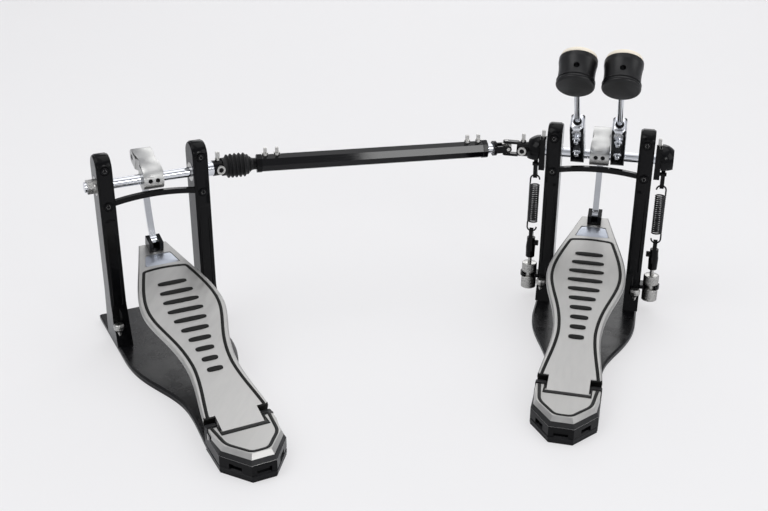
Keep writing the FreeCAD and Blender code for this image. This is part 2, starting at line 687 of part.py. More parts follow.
def holder(x):
    """A beater holder: a block clamped on the axle, with a socket and collar for the rod."""
    block = box(x - HOLDER_HALF, x + HOLDER_HALF, -HOLDER_FRONT, HOLDER_FRONT, AXLE_Z, AXLE_Z + HOLDER_ABOVE)
    uprights = [e for e in block.Edges if e.BoundBox.ZLength > LAP]
    block = block.makeFillet(POST_EDGE, uprights)
    block = block.makeFillet(HOLDER_CROWN, top_edges(block, AXLE_Z + HOLDER_ABOVE))
    round_foot = bar_x(HOLDER_FRONT, x - HOLDER_HALF, x + HOLDER_HALF, 0, AXLE_Z)
    collar = bar_z(COLLAR_R, AXLE_Z + HOLDER_ABOVE - LAP, AXLE_Z + HOLDER_ABOVE + COLLAR_L, x, 0)
    block = join(block, round_foot, collar)
    socket = bar_z(ROD_R + RUN_FIT, AXLE_Z + AXLE_R + SOCKET_FLOOR, AXLE_Z + HOLDER_ABOVE + COLLAR_L, x, 0)
    axle_bore = bar_x(AXLE_R + CLAMP_FIT, x - HOLDER_HALF, x + HOLDER_HALF, 0, AXLE_Z)
    block = block.cut([socket, axle_bore])
    for rise in HOLDER_SCREW_AT:
        hole = bar(SET_SCREW_R + SEAT_FIT, V(x, -HOLDER_FRONT, AXLE_Z + rise), V(x, 0, AXLE_Z + rise))
        block = block.cut(hole)
    return leaned(block)


def holder_screws(x):
    screws = []
    for rise in HOLDER_SCREW_AT:
        face = V(x, -HOLDER_FRONT, AXLE_Z + rise)
        tip = V(x, -ROD_R - RUN_FIT - TIP_GAP, AXLE_Z + rise)
        head = bar(CAP_SCREW_R, face, face - V(0, CAP_SCREW_HEAD, 0))
        screws.append(leaned(join(head, bar(SET_SCREW_R, face, tip))))
    return screws


def rocker():
    """The +X spring rocker: a lever plate on the axle with a half dome outside it."""
    x0 = ROCKER_IN_X
    x1 = ROCKER_IN_X + ROCKER_T
    plate = plate_yz([
        (-ROCKER_HALF, AXLE_Z + ROCKER_TOP), (-ROCKER_HALF, AXLE_Z),
        (-LEVER_HALF, LEVER_PIN_Z - LEVER_HALF), (LEVER_HALF, LEVER_PIN_Z - LEVER_HALF),
        (ROCKER_HALF, AXLE_Z), (ROCKER_HALF, AXLE_Z + ROCKER_TOP),
    ], x0, x1)
    dome = Part.makeSphere(DOME_R, V(x1, 0, AXLE_Z))
    dome = dome.common(box(x1, x1 + DOME_L, -DOME_R, DOME_R, AXLE_Z - DOME_CUT, AXLE_Z + DOME_R))
    pin_end = SPRING_X + HANGER_T / 2 + LEVER_PIN_PROUD
    pin = bar_x(LEVER_PIN_R, x1 - LAP, pin_end, 0, LEVER_PIN_Z)
    body = join(plate, dome, pin)
    body = body.cut(bar_x(AXLE_R + CLAMP_FIT, x0, x1 + DOME_L, 0, AXLE_Z))
    return body.cut(key_hole(AXLE_Z + ROCKER_TOP, x0 + ROCKER_T / 2))


def key_hole(top, x):
    return bar_z(KEY_SCREW_SHANK_R + SEAT_FIT, top - KEY_SCREW_SHANK, top, x, 0)


def key_screw(top, x):
    """A square-headed screw standing on a hub or rocker."""
    shank = bar_z(KEY_SCREW_SHANK_R, top - KEY_SCREW_SHANK, top, x, 0)
    half = KEY_SCREW_R * KEY_HALF_SHARE
    collar = bar_z(KEY_SCREW_R, top, top + KEY_COLLAR_T, x, 0)
    head = box(x - half, x + half, -half, half, top, top + KEY_SCREW_HEAD)
    return join(shank, collar, head)


def drive_hub(hub_in, joint_x):
    """A hub on the axle end whose two ears, above and below, reach to the joint centre."""
    side = 1 if joint_x > hub_in else -1
    face = joint_x - side * JOINT_REACH
    hub = bar_x(HUB_R, hub_in, face, 0, AXLE_Z)
    x0, x1 = sorted((face - side * LAP, joint_x))
    for s in (-1, 1):
        z0, z1 = sorted((AXLE_Z + s * EAR_IN, AXLE_Z + s * EAR_OUT))
        ear = box(x0, x1, -EAR_HALF, EAR_HALF, z0, z1)
        hub = join(hub, ear, bar_z(EAR_HALF, z0, z1, joint_x, 0))
    hub = hub.cut(bar_z(CROSS_PIN_R + CROSS_PLAY, AXLE_Z - EAR_OUT, AXLE_Z + EAR_OUT, joint_x, 0))
    blind = face - side * HUB_WALL
    hub = hub.cut(bar_x(AXLE_R + CLAMP_FIT, hub_in, blind, 0, AXLE_Z))
    middle = (hub_in + face) / 2
    hub = hub.cut(bar_z(KEY_SCREW_SHANK_R + SEAT_FIT, AXLE_Z + AXLE_R, AXLE_Z + HUB_R + LAP, middle, 0))
    front = bar(SET_SCREW_R + SEAT_FIT, V(middle, -HUB_R - LAP, AXLE_Z), V(middle, -AXLE_R, AXLE_Z))
    return hub.cut(front)


def hub_screws(hub_in, joint_x):
    """The two screws of a drive hub: one stands on top, one faces the player."""
    side = 1 if joint_x > hub_in else -1
    middle = (hub_in + joint_x - side * JOINT_REACH) / 2
    seat = AXLE_Z + HUB_R + SEAT_STEP
    shank = bar_z(KEY_SCREW_SHANK_R, AXLE_Z + AXLE_R + TIP_GAP, seat + SEAT_STEP, middle, 0)
    half = KEY_SCREW_R * KEY_HALF_SHARE
    head = box(middle - half, middle + half, -half, half, seat, seat + KEY_SCREW_HEAD)
    collar = bar_z(KEY_SCREW_R, seat, seat + KEY_COLLAR_T, middle, 0)
    disc_in = V(middle, -HUB_R - SEAT_STEP, AXLE_Z)
    disc = bar(HUB_DISC_R, disc_in, disc_in - V(0, CAP_SCREW_HEAD, 0))
    stem = bar(SET_SCREW_R, disc_in, V(middle, -AXLE_R - TIP_GAP, AXLE_Z))
    return [join(shank, head, collar), join(disc, stem)]


def main_axle():
    solid = bar_x(AXLE_R, AXLE_SPLIT_X + AXLE_SPLIT_GAP, ROCKER_OUT_X, 0, AXLE_Z)
    return join(solid, bar_x(SPIGOT_R, AXLE_SPLIT_X - SPIGOT_L, AXLE_SPLIT_X + LAP, 0, AXLE_Z))


def left_axle():
    """The sleeve axle of the left beater: it turns on the main axle's spigot."""
    end = MAIN_JOINT_X + JOINT_REACH + AXLE_END_IN
    solid = bar_x(AXLE_R, end, AXLE_SPLIT_X, 0, AXLE_Z)
    return solid.cut(bar_x(SPIGOT_R + RUN_FIT, AXLE_SPLIT_X - SPIGOT_L - LAP, AXLE_SPLIT_X, 0, AXLE_Z))


def left_hub_in():
    return -ROCKER_OUT_X


def second_hub_in():
    return SECOND_JOINT_X - JOINT_REACH - HUB_L


def second_axle():
    solid = bar_x(AXLE_R, -POST_OUT - AXLE_TAIL, SECOND_JOINT_X - JOINT_REACH - AXLE_END_IN, 0, AXLE_Z)
    collar = bar_x(AXLE_R + AXLE_COLLAR, POST_OUT + LAP, second_hub_in() - TIP_GAP, 0, AXLE_Z)
    return join(solid, collar)


def end_nut():
    """Washer and hexagon nut on the free end of the second axle."""
    washer_in = -POST_OUT - TIP_GAP
    washer_out = washer_in - END_WASHER_T
    washer = bar_x(AXLE_R + AXLE_COLLAR, washer_out, washer_in, 0, AXLE_Z)
    across = AXLE_R + AXLE_COLLAR
    corners = []
    for step in range(6):
        angle = pi / 3 * step
        corners.append((across * cos(angle), AXLE_Z + across * sin(angle)))
    nut = plate_yz(corners, washer_out - END_NUT_T, washer_out)
    hole = bar_x(AXLE_R + CLAMP_FIT, -POST_OUT - AXLE_TAIL, -POST_OUT, 0, AXLE_Z)
    return [washer.cut(hole), nut.cut(hole)]


# Beater pieces, drawn upright and then leaned back

def beater_rod(x):
    return leaned(bar_z(ROD_R, AXLE_Z + ROD_START, AXLE_Z + HEAD_AT + HEAD_R - ROD_TOP_BELOW, x, 0))


def beater_head(x):
    """A turned head lying along +Y: domed rear, shallow waist, two fine grooves before the dome."""
    z = AXLE_Z + HEAD_AT
    dome_y = -HEAD_REAR + HEAD_DOME
    corner_y = dome_y + HEAD_ROUND
    band_y = HEAD_FRONT - HEAD_FRONT_BAND
    dome_r = HEAD_R - HEAD_ROUND * 0.7

    def at(y, radius):
        return V(x, y, z + radius)

    lines = [
        Part.Arc(at(-HEAD_REAR, 0), at(dome_y - HEAD_DOME * 0.7, dome_r * 0.55), at(dome_y, dome_r)).toShape(),
        Part.Arc(at(dome_y, dome_r), at(dome_y + HEAD_ROUND * 0.4, HEAD_R - HEAD_ROUND * 0.2),
                 at(corner_y, HEAD_R)).toShape(),
        Part.Arc(at(corner_y, HEAD_R), at(0, HEAD_R - HEAD_WAIST), at(band_y, HEAD_R)).toShape(),
        Part.makeLine(at(band_y, HEAD_R), at(HEAD_FRONT, HEAD_R)),
        Part.makeLine(at(HEAD_FRONT, HEAD_R), at(HEAD_FRONT, 0)),
        Part.makeLine(at(HEAD_FRONT, 0), at(-HEAD_REAR, 0)),
    ]
    solid = Part.Face(Part.Wire(lines)).revolve(V(x, 0, z), V(0, 1, 0), 360)
    for y in (corner_y, corner_y + GROOVE_STEP):
        start = V(x, y, z)
        end = V(x, y + GROOVE_W, z)
        solid = solid.cut(bar(HEAD_R + LAP, start, end).cut(bar(HEAD_R - GROOVE_DEPTH, start, end)))
    solid = solid.cut(bar_z(ROD_R + SEAT_FIT, z - HEAD_R - LAP, z + HEAD_R + LAP, x, 0))
    return leaned(solid)


def beater_felt(x):
    """The striking pad: a short disc with a rounded rim."""
    z = AXLE_Z + HEAD_AT
    face_y = HEAD_FRONT + FELT_T
    pad = bar(HEAD_R - FELT_INSET, V(x, HEAD_FRONT, z), V(x, face_y, z))
    rim = [e for e in pad.Edges if e.BoundBox.YMin > face_y - 1e-4]
    return leaned(pad.makeFillet(FELT_ROUND, rim))


# Spring pieces, drawn for the +X side

def hanger():
    """A short plate from the lever pin down to the spring's upper loop."""
    x0 = SPRING_X - HANGER_T / 2
    x1 = SPRING_X + HANGER_T / 2
    body = plate_yz([
        (-HANGER_HALF, LEVER_PIN_Z), (HOOK_BEND - HANGER_HALF, EYE_Z),
        (HOOK_BEND + HANGER_HALF, EYE_Z), (HANGER_HALF, LEVER_PIN_Z),
    ], x0, x1)
    ends = [bar_x(HANGER_HALF, x0, x1, 0, LEVER_PIN_Z), bar_x(HANGER_HALF, x0, x1, HOOK_BEND, EYE_Z)]
    return join(body, *ends).cut([
        bar_x(LEVER_PIN_R + HINGE_FIT, x0, x1, 0, LEVER_PIN_Z),
        bar_x(HANGER_EYE_R, x0, x1, HOOK_BEND, EYE_Z),
    ])


def biarc(p0, t0, p1, t1):
    """Two arcs that leave p0 along t0 and reach p1 along t1."""
    v = p1 - p0
    t = t0 + t1
    k = 2 * (1 - t0.dot(t1))
    b = v.dot(t)
    d = (-b + sqrt(b * b + k * v.dot(v))) / k
    q0 = p0 + t0 * d
    q1 = p1 - t1 * d
    mid = (q0 + q1) * 0.5
    return [corner_arc(p0, q0, mid), corner_arc(mid, q1, p1)]


def corner_arc(start, corner, end):
    """The arc that touches the two legs of a corner."""
    m = (start + end) * 0.5
    w = (start - m).Length / (start - corner).Length
    return Part.Arc(start, m * (1 / (1 + w)) + corner * (w / (1 + w)), end).toShape()


def coil_point(angle):
    """A point of the coil, and its direction, at an angle from the lower end."""
    z = COIL_BOTTOM_Z + COIL_PITCH * angle / (2 * pi)
    point = V(SPRING_X + COIL_R * cos(angle), COIL_R * sin(angle), z)
    way = V(-COIL_R * sin(angle), COIL_R * cos(angle), COIL_PITCH / (2 * pi)).normalize()
    return point, way


def end_loop(point, way, sign):
    """The wire from a coil end: a bend, a short neck and a loop over the spring's axis."""
    up = V(0, 0, sign)
    out = V(0, way.y, 0).normalize() * sign
    bend_end = point + out * HOOK_BEND + up * HOOK_BEND
    neck_end = bend_end + up * HOOK_NECK
    far = V(2 * SPRING_X - neck_end.x, neck_end.y, neck_end.z)
    crown = V(SPRING_X, neck_end.y, neck_end.z + sign * COIL_R)
    return biarc(point, way * sign, bend_end, up) + [
        Part.makeLine(bend_end, neck_end), Part.Arc(neck_end, crown, far).toShape(),
    ]


def spring():
    """A close-wound extension spring with a loop at each end, as one unbroken wire."""
    edges = []
    for half_turn in range(2 * COIL_TURNS):
        p0, t0 = coil_point(pi * half_turn)
        p1, t1 = coil_point(pi * (half_turn + 1))
        edges += biarc(p0, t0, p1, t1)
    top, top_way = coil_point(2 * pi * COIL_TURNS)
    low, low_way = coil_point(0)
    edges = end_loop(low, low_way, -1) + edges + end_loop(top, top_way, 1)
    path = Part.Wire(Part.__sortEdges__(edges))
    start = path.OrderedVertexes[0].Point
    way = path.OrderedEdges[0].tangentAt(path.OrderedEdges[0].FirstParameter)
    profile = Part.Wire(Part.makeCircle(WIRE_R, start, way))
    shell = Part.BRepOffsetAPI.MakePipeShell(path)
    shell.add(profile)
    shell.build()
    shell.makeSolid()
    return shell.shape()


def spring_gap():
    """Least gap of the spring's wire to itself, measured on points along the coil."""
    steps = 24
    points = [coil_point(2 * pi * i / steps)[0] for i in range(steps * COIL_TURNS + 1)]
    least = COIL_R
    for i, a in enumerate(points):
        for b in points[i + steps // 2:i + 2 * steps]:
            least = min(least, (a - b).Length - 2 * WIRE_R)
    return least


def hook_rod():
    """The claw below the spring, with the threaded rod that runs down through the nut."""
    x0 = SPRING_X - CLAW_T / 2
    x1 = SPRING_X + CLAW_T / 2
    y = -HOOK_BEND
    foot_z = CLAW_EYE_Z - CLAW_NECK
    plate = box(x0, x1, y - CLAW_HALF, CLAW_HALF, foot_z, CLAW_EYE_Z - CLAW_HALF)
    plate = join(plate, box(x0, x1, y - CLAW_HALF, y + CLAW_HALF, foot_z, CLAW_EYE_Z))
    head = bar_x(CLAW_HALF, x0, x1, y, CLAW_EYE_Z)
    cup = bar_z(CUP_R, foot_z - CUP_L, foot_z + CUP_RISE, SPRING_X, 0)
    thread = bar_z(THREAD_R, THREAD_END_Z, foot_z, SPRING_X, 0)
    body = join(plate, head, cup, thread)
    return body.cut(bar_x(HANGER_EYE_R, x0, x1, y, CLAW_EYE_Z))


def tension_nut():
    """A knurled nut in two discs, with a neck that turns in the bracket's fork."""
    low = bar_z(NUT_R, NUT_BOTTOM_Z, RING_Z - RING_PLAY, SPRING_X, 0)
    neck = bar_z(NUT_NECK_R, NUT_BOTTOM_Z, NUT_TOP_Z, SPRING_X, 0)
    high = bar_z(NUT_R, RING_Z + RING_T + RING_PLAY, NUT_TOP_Z, SPRING_X, 0)
    body = join(low, neck, high)
    return body.cut(bar_z(THREAD_R + THREAD_FIT, NUT_BOTTOM_Z, NUT_TOP_Z, SPRING_X, 0))


def tension_bracket():
    """A fork on the post's outer face that holds the nut's neck."""
    disc = bar_z(RING_R, RING_Z, RING_Z + RING_T, SPRING_X, 0)
    arm = box(POST_OUT, SPRING_X, -RING_R * 0.7, RING_R * 0.7, RING_Z, RING_Z + RING_T)
    hole = bar_z(NUT_NECK_R + RING_PLAY, RING_Z, RING_Z + RING_T, SPRING_X, 0)
    mouth = box(SPRING_X - NUT_NECK_R - RING_PLAY, SPRING_X + NUT_NECK_R + RING_PLAY, -2 * RING_R, 0,
                RING_Z, RING_Z + RING_T)
    return join(disc, arm).cut([hole, mouth])


# Hoop clamp

def hoop_jaw():
    z0 = BASE_TOP + HOOP_GAP
    jaw = box(-HOOP_JAW_HALF, HOOP_JAW_HALF, HOOP_JAW_FRONT_Y, BASE_BACK_Y, z0, z0 + HOOP_JAW_T)
    holes = [bar_z(HOOP_SCREW_R + THREAD_FIT, z0, z0 + HOOP_JAW_T, 0, HOOP_SCREW_Y)]
    for x in (-HOOP_GUIDE_X, HOOP_GUIDE_X):
        holes.append(bar_z(HOOP_GUIDE_R + RUN_FIT, z0, z0 + HOOP_JAW_T, x, HOOP_SCREW_Y))
    return jaw.cut(holes)


def hoop_screw():
    """The clamp's upright screw with a flat wing on top; its foot turns on the base."""
    stem = bar_z(HOOP_SCREW_R, BASE_TOP + TIP_GAP, HOOP_SCREW_TOP_Z, 0, HOOP_SCREW_Y)
    front = HOOP_SCREW_Y - HOOP_WING_T / 2
    wing = box(-HOOP_WING_HALF, HOOP_WING_HALF, front, front + HOOP_WING_T,
               HOOP_SCREW_TOP_Z - HOOP_WING_LOW, HOOP_SCREW_TOP_Z + HOOP_WING_HIGH)
    corners = [e for e in wing.Edges if e.BoundBox.YLength > LAP]
    return join(stem, wing.makeFillet(HOOP_WING_ROUND, corners))


def hoop_guides():
    places = (-HOOP_GUIDE_X, HOOP_GUIDE_X)
    return [bar_z(HOOP_GUIDE_R, BASE_TOP, HOOP_GUIDE_TOP_Z, x, HOOP_SCREW_Y) for x in places]


# Drive link, drawn along +X from the second pedal's joint centre and then placed

MAIN_JOINT = V(MAIN_JOINT_X, 0, AXLE_Z)
SECOND_JOINT = SECOND_PLACE.multVec(V(SECOND_JOINT_X, 0, AXLE_Z))
LINK_L = hypot(MAIN_JOINT.x - SECOND_JOINT.x, MAIN_JOINT.y - SECOND_JOINT.y)
LINK_YAW = degrees(atan2(MAIN_JOINT.y - SECOND_JOINT.y, MAIN_JOINT.x - SECOND_JOINT.x))
LINK_PLACE = FreeCAD.Placement(SECOND_JOINT, FreeCAD.Rotation(Z_AXIS, LINK_YAW))


def fork(joint_x, side):
    """Two ears, in front and behind, that hold the cross, on a short neck."""
    x0, x1 = sorted((joint_x, joint_x + side * (JOINT_REACH + LAP)))
    body = bar_x(HUB_R, joint_x + side * JOINT_REACH, joint_x + side * (JOINT_REACH + FORK_BASE), 0, 0)
    for s in (-1, 1):
        y0, y1 = sorted((s * EAR_IN, s * EAR_OUT))
        ear = box(x0, x1, y0, y1, -EAR_HALF, EAR_HALF)
        tip = bar(EAR_HALF, V(joint_x, y0, 0), V(joint_x, y1, 0))
        body = join(body, ear, tip)
    bore = bar(CROSS_PIN_R + CROSS_FIT, V(joint_x, -EAR_OUT, 0), V(joint_x, EAR_OUT, 0))
    return body.cut(bore)


def cross(joint_x):
    """The joint's cross: a small block with an upright and a level pin."""
    block = box(joint_x - CROSS_HALF, joint_x + CROSS_HALF, -CROSS_HALF, CROSS_HALF, -CROSS_HALF, CROSS_HALF)
    level = bar(CROSS_PIN_R, V(joint_x, -EAR_OUT, 0), V(joint_x, EAR_OUT, 0))
    upright = bar(CROSS_PIN_R, V(joint_x, 0, -EAR_OUT), V(joint_x, 0, EAR_OUT))
    return join(block, level, upright)


def tube_end():
    return LINK_L - TUBE_END_GAP


def link_tube():
    """An eight-sided tube, an edge upwards, with a round bore and two spot-faced screw holes at each end."""
    circle = TUBE_FLATS / 2 / cos(pi / 8)
    corners = []
    for step in range(8):
        angle = pi / 4 * step
        corners.append((circle * cos(angle), circle * sin(angle)))
    tube = plate_yz(corners, TUBE_START, tube_end())
    tube = tube.cut(bar_x(LINK_ROD_R + LINK_FIT, TUBE_START, tube_end(), 0, 0))
    for x in tube_screw_places():
        hole = bar_z(TUBE_SCREW_R + SEAT_FIT, LINK_ROD_R, TUBE_FLATS, x, 0)
        tube = tube.cut([hole, bar_z(TUBE_SPOT_R, TUBE_FLATS / 2, TUBE_FLATS, x, 0)])
    return tube


def tube_screw_places():
    first = [TUBE_START + at for at in TUBE_SCREW_AT]
    return first + [tube_end() - at for at in TUBE_SCREW_AT]


def link_screws():
    screws = []
    for x in tube_screw_places():
        top = TUBE_FLATS / 2
        half = TUBE_SCREW_R * KEY_HALF_SHARE
        stem = bar_z(TUBE_SCREW_R, LINK_ROD_R + LINK_FIT + TIP_GAP, top, x, 0)
        nut = bar_z(TUBE_NUT_R, top, top + TUBE_NUT_T, x, 0)
        head = box(x - half, x + half, -half, half, top, top + TUBE_SCREW_HEAD)
        screws.append(join(stem, nut, head))
    return screws


def link_fork():
    """The second pedal's fork, with a stub that is screwed into the tube."""
    start = JOINT_REACH + FORK_BASE
    neck = bar_x(LINK_NECK_R, start - LAP, TUBE_START, 0, 0)
    stub = bar_x(LINK_ROD_R, TUBE_START - LAP, TUBE_START + LINK_STUB_IN, 0, 0)
    return join(fork(0, 1), neck, stub)


def link_rod():
    """The main pedal's fork, on the rod that slides in the tube."""
    start = LINK_L - JOINT_REACH - FORK_BASE
    rod = bar_x(LINK_ROD_R, tube_end() - LINK_ROD_IN, start + LAP, 0, 0)
    return join(fork(LINK_L, -1), rod)


def boot():
    """A ribbed rubber boot over the second pedal's joint, carried on the fork's neck."""
    rings = []
    for rib in range(BOOT_RIBS):
        x = BOOT_START + rib * BOOT_PITCH
        for step, radius in zip((0.0, 0.3, 0.7, 0.98), (BOOT_ROOT_R, BOOT_CREST_R, BOOT_CREST_R, BOOT_ROOT_R)):
            rings.append((x + step * BOOT_PITCH, radius))
    rings.append((BOOT_START + BOOT_RIBS * BOOT_PITCH + 2 * BOOT_END_T, BOOT_END_R))
    wires = [Part.Wire(Part.makeCircle(radius, V(x, 0, 0), X_AXIS)) for x, radius in rings]
    skin = Part.makeLoft(wires, True, True)
    end = rings[-1][0]
    hollow = bar_x(BOOT_BORE_R, BOOT_START, end - 2 * BOOT_END_T, 0, 0)
    seat = bar_x(LINK_NECK_R + SEAT_FIT, BOOT_START, end, 0, 0)
    base = bar_x(HUB_R + TIP_GAP, BOOT_START, JOINT_REACH + FORK_BASE + TIP_GAP, 0, 0)
    return skin.cut([hollow, seat, base])


# Writing the nodes

os.makedirs("parts", exist_ok=True)


def write(name, shape, place=WHOLE):
    placed = shape.copy()
    placed.Placement = place.multiply(placed.Placement)
    placed.exportStep("parts/" + name + ".step")


def write_pedal(prefix, place, extra_fasteners):
    """The pieces that both pedals share."""
    write(prefix + "_base_plate", base_plate(), place)
    write(prefix + "_base_mat", base_mat(), place)
    write(prefix + "_posts", both_sides(post()), place)
    write(prefix + "_tie_bar", tie_bar(), place)
    write(prefix + "_heel_block", heel_block(), place)
    write(prefix + "_heel_plate", heel_plate(), place)
    write(prefix + "_bearings", both_sides(bearing()), place)
    write(prefix + "_frame_fasteners", Part.makeCompound(frame_fasteners() + extra_fasteners), place)
    write(prefix + "_footboard", footboard(), place)
    write(prefix + "_toe_clevis", toe_clevis(), place)
    write(prefix + "_strap", strap(), place)
    write(prefix + "_cam", cam(), place)


def cam_screws():
    return [set_screw(x) for x in (-SET_SCREW_X, SET_SCREW_X)]


def write_beater(name, x):
    write(name + "_holder", holder(x))
    write(name + "_beater_rod", beater_rod(x))
    write(name + "_beater_head", beater_head(x))
    write(name + "_beater_felt", beater_felt(x))


write_pedal("main", WHOLE, hoop_guides())
write_pedal("second", SECOND_PLACE, [])
write_beater("left", LEFT_BEATER_X)
write_beater("right", RIGHT_BEATER_X)

rocker_key_x = ROCKER_IN_X + ROCKER_T / 2
rocker_key = key_screw(AXLE_Z + ROCKER_TOP, rocker_key_x)
write("main_axle", main_axle())
write("main_axle_screws", Part.makeCompound(cam_screws() + holder_screws(RIGHT_BEATER_X) + [rocker_key]))
write("left_axle", left_axle())
left_hub = drive_hub(left_hub_in(), MAIN_JOINT_X)
left_fasteners = holder_screws(LEFT_BEATER_X) + hub_screws(left_hub_in(), MAIN_JOINT_X)
left_fasteners.append(mirrored(rocker_key))
write("left_drive_hub", left_hub)
write("left_axle_screws", Part.makeCompound(left_fasteners))
write("second_axle", second_axle(), SECOND_PLACE)
second_fasteners = cam_screws() + end_nut() + hub_screws(second_hub_in(), SECOND_JOINT_X)
write("second_axle_screws", Part.makeCompound(second_fasteners), SECOND_PLACE)
write("second_drive_hub", drive_hub(second_hub_in(), SECOND_JOINT_X), SECOND_PLACE)

write("right_rocker", rocker())
write("left_rocker", mirrored(rocker()))
for side_name, flip in (("right", lambda shape: shape), ("left", mirrored)):
    write(side_name + "_hanger", flip(hanger()))
    write(side_name + "_spring", flip(spring()))
    write(side_name + "_hook_rod", flip(hook_rod()))
    write(side_name + "_tension_nut", flip(tension_nut()))
write("tension_brackets", both_sides(tension_bracket()))
write("hoop_jaw", hoop_jaw())
write("hoop_screw", hoop_screw())

write("link_tube", link_tube(), LINK_PLACE)
write("link_fork", link_fork(), LINK_PLACE)
write("link_rod", link_rod(), LINK_PLACE)
write("link_screws", Part.makeCompound(link_screws()), LINK_PLACE)
write("link_boot", boot(), LINK_PLACE)
write("main_cross", cross(LINK_L), LINK_PLACE)
write("second_cross", cross(0), LINK_PLACE)
print("least gap of the spring wire to itself, mm:", round(spring_gap(), 3))
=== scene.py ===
import json
from math import atan2, cos, hypot, pi, radians, sin

import bmesh
import bpy
import numpy as np
from mathutils import Matrix, Vector


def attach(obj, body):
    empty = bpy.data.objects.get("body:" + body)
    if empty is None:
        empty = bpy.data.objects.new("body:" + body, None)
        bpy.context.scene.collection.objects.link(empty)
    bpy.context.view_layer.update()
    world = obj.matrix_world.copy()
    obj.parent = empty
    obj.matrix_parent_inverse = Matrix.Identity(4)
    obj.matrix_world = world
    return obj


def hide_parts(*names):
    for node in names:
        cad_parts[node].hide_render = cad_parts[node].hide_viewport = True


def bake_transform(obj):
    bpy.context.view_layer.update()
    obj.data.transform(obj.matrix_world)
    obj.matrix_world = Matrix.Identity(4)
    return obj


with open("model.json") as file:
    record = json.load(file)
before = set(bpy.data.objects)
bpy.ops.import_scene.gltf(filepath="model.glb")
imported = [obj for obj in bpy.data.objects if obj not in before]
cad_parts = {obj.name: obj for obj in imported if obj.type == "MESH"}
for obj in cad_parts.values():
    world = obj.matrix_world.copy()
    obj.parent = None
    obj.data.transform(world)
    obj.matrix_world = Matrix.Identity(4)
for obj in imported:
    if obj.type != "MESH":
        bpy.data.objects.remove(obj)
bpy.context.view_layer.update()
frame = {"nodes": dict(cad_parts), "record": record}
nodes = frame["nodes"]

# Sizes in millimetres, in the frame of the solids
MM = 0.001
SECOND_AT = (-491.0, -218.0)
SECOND_TURN = radians(41.6)
AXLE_Z = 200.0
BOARD_HEEL = (-267.0, 32.0)
BOARD_TOE = (24.0, 110.0)
BOARD_LENGTH = hypot(BOARD_TOE[0] - BOARD_HEEL[0], BOARD_TOE[1] - BOARD_HEEL[1])
BOARD_SLOPE = atan2(BOARD_TOE[1] - BOARD_HEEL[1], BOARD_TOE[0] - BOARD_HEEL[0])
BEATER_LEAN = radians(45.0)
BEATERS = {"left": -26.5, "right": 21.5}
SPRING_X = 77.0
POST_X = 55.0
POST_FACE = 15.0
POST_SCREWS_Z = (179.0, 221.0)
SPUR_X = 59.0
SPUR_Y = -21.0
MAIN_JOINT = (-115.0, 0.0)
SECOND_JOINT_OUT = 101.0
SECOND_JOINT = (SECOND_AT[0] + SECOND_JOINT_OUT * cos(SECOND_TURN),
                SECOND_AT[1] + SECOND_JOINT_OUT * sin(SECOND_TURN))
LINK_TURN = atan2(MAIN_JOINT[1] - SECOND_JOINT[1], MAIN_JOINT[0] - SECOND_JOINT[0])
LINK_LENGTH = hypot(MAIN_JOINT[0] - SECOND_JOINT[0], MAIN_JOINT[1] - SECOND_JOINT[1])
# How far a strip reaches into the face it lies on, and the radius that closes a turned profile
SINK = 0.05
CLOSED = 0.001
SIDES = (-1.0, 1.0)


# Places: each function carries points of a local drawing into the frame

def turned_about_z(p, angle):
    """Points turned about the upright axis."""
    x = p[..., 0] * cos(angle) - p[..., 1] * sin(angle)
    y = p[..., 0] * sin(angle) + p[..., 1] * cos(angle)
    return np.stack([x, y, p[..., 2]], -1)


def on_main(p):
    """The main pedal's own frame is the frame."""
    return p


def on_second(p):
    """The second pedal's own frame, turned and moved to its place."""
    return turned_about_z(p, SECOND_TURN) + np.array([*SECOND_AT, 0.0])


def on_board(p):
    """(across, along the slope, height over the board) to the pedal's own frame."""
    y = BOARD_HEEL[0] + p[..., 1] * cos(BOARD_SLOPE) - p[..., 2] * sin(BOARD_SLOPE)
    z = BOARD_HEEL[1] + p[..., 1] * sin(BOARD_SLOPE) + p[..., 2] * cos(BOARD_SLOPE)
    return np.stack([p[..., 0], y, z], -1)


def on_link(p):
    """Along the link from the second pedal's joint centre."""
    return turned_about_z(p, LINK_TURN) + np.array([*SECOND_JOINT, AXLE_Z])


def leaned(p):
    """Upright over the axle (z counted from it) to the beater's rest lean."""
    y = p[..., 1] * cos(BEATER_LEAN) - p[..., 2] * sin(BEATER_LEAN)
    z = p[..., 1] * sin(BEATER_LEAN) + p[..., 2] * cos(BEATER_LEAN)
    return np.stack([p[..., 0], y, z + AXLE_Z], -1)


# Surfaces: grids of points, rows by columns

def turned(profile, count, axis):
    """Profile of (along, radius) carried once round an axis: 0 is X, 1 is Y, 2 is Z."""
    profile = np.asarray(profile, float)
    angle = np.linspace(0, 2 * pi, count, endpoint=False)
    along = np.repeat(profile[:, :1], count, 1)
    first = profile[:, 1:] * np.cos(angle)
    other = profile[:, 1:] * np.sin(angle)
    order = {0: (along, first, other), 1: (other, along, first), 2: (first, other, along)}[axis]
    return np.stack(order, -1)


def rounded_profile(corners, radius, steps=6):
    """A line through corners in which every inner corner becomes a quadratic bend of that reach."""
    corners = np.asarray(corners, float)
    out = [corners[:1]]
    for before, corner, after in zip(corners, corners[1:], corners[2:]):
        reach = min(radius, 0.49 * np.linalg.norm(before - corner), 0.49 * np.linalg.norm(after - corner))
        a = corner + (before - corner) / np.linalg.norm(before - corner) * reach
        b = corner + (after - corner) / np.linalg.norm(after - corner) * reach
        t = np.linspace(0, 1, steps)[:, None]
        out.append((1 - t) ** 2 * a + 2 * t * (1 - t) * corner + t ** 2 * b)
    out.append(corners[-1:])
    return np.concatenate(out)


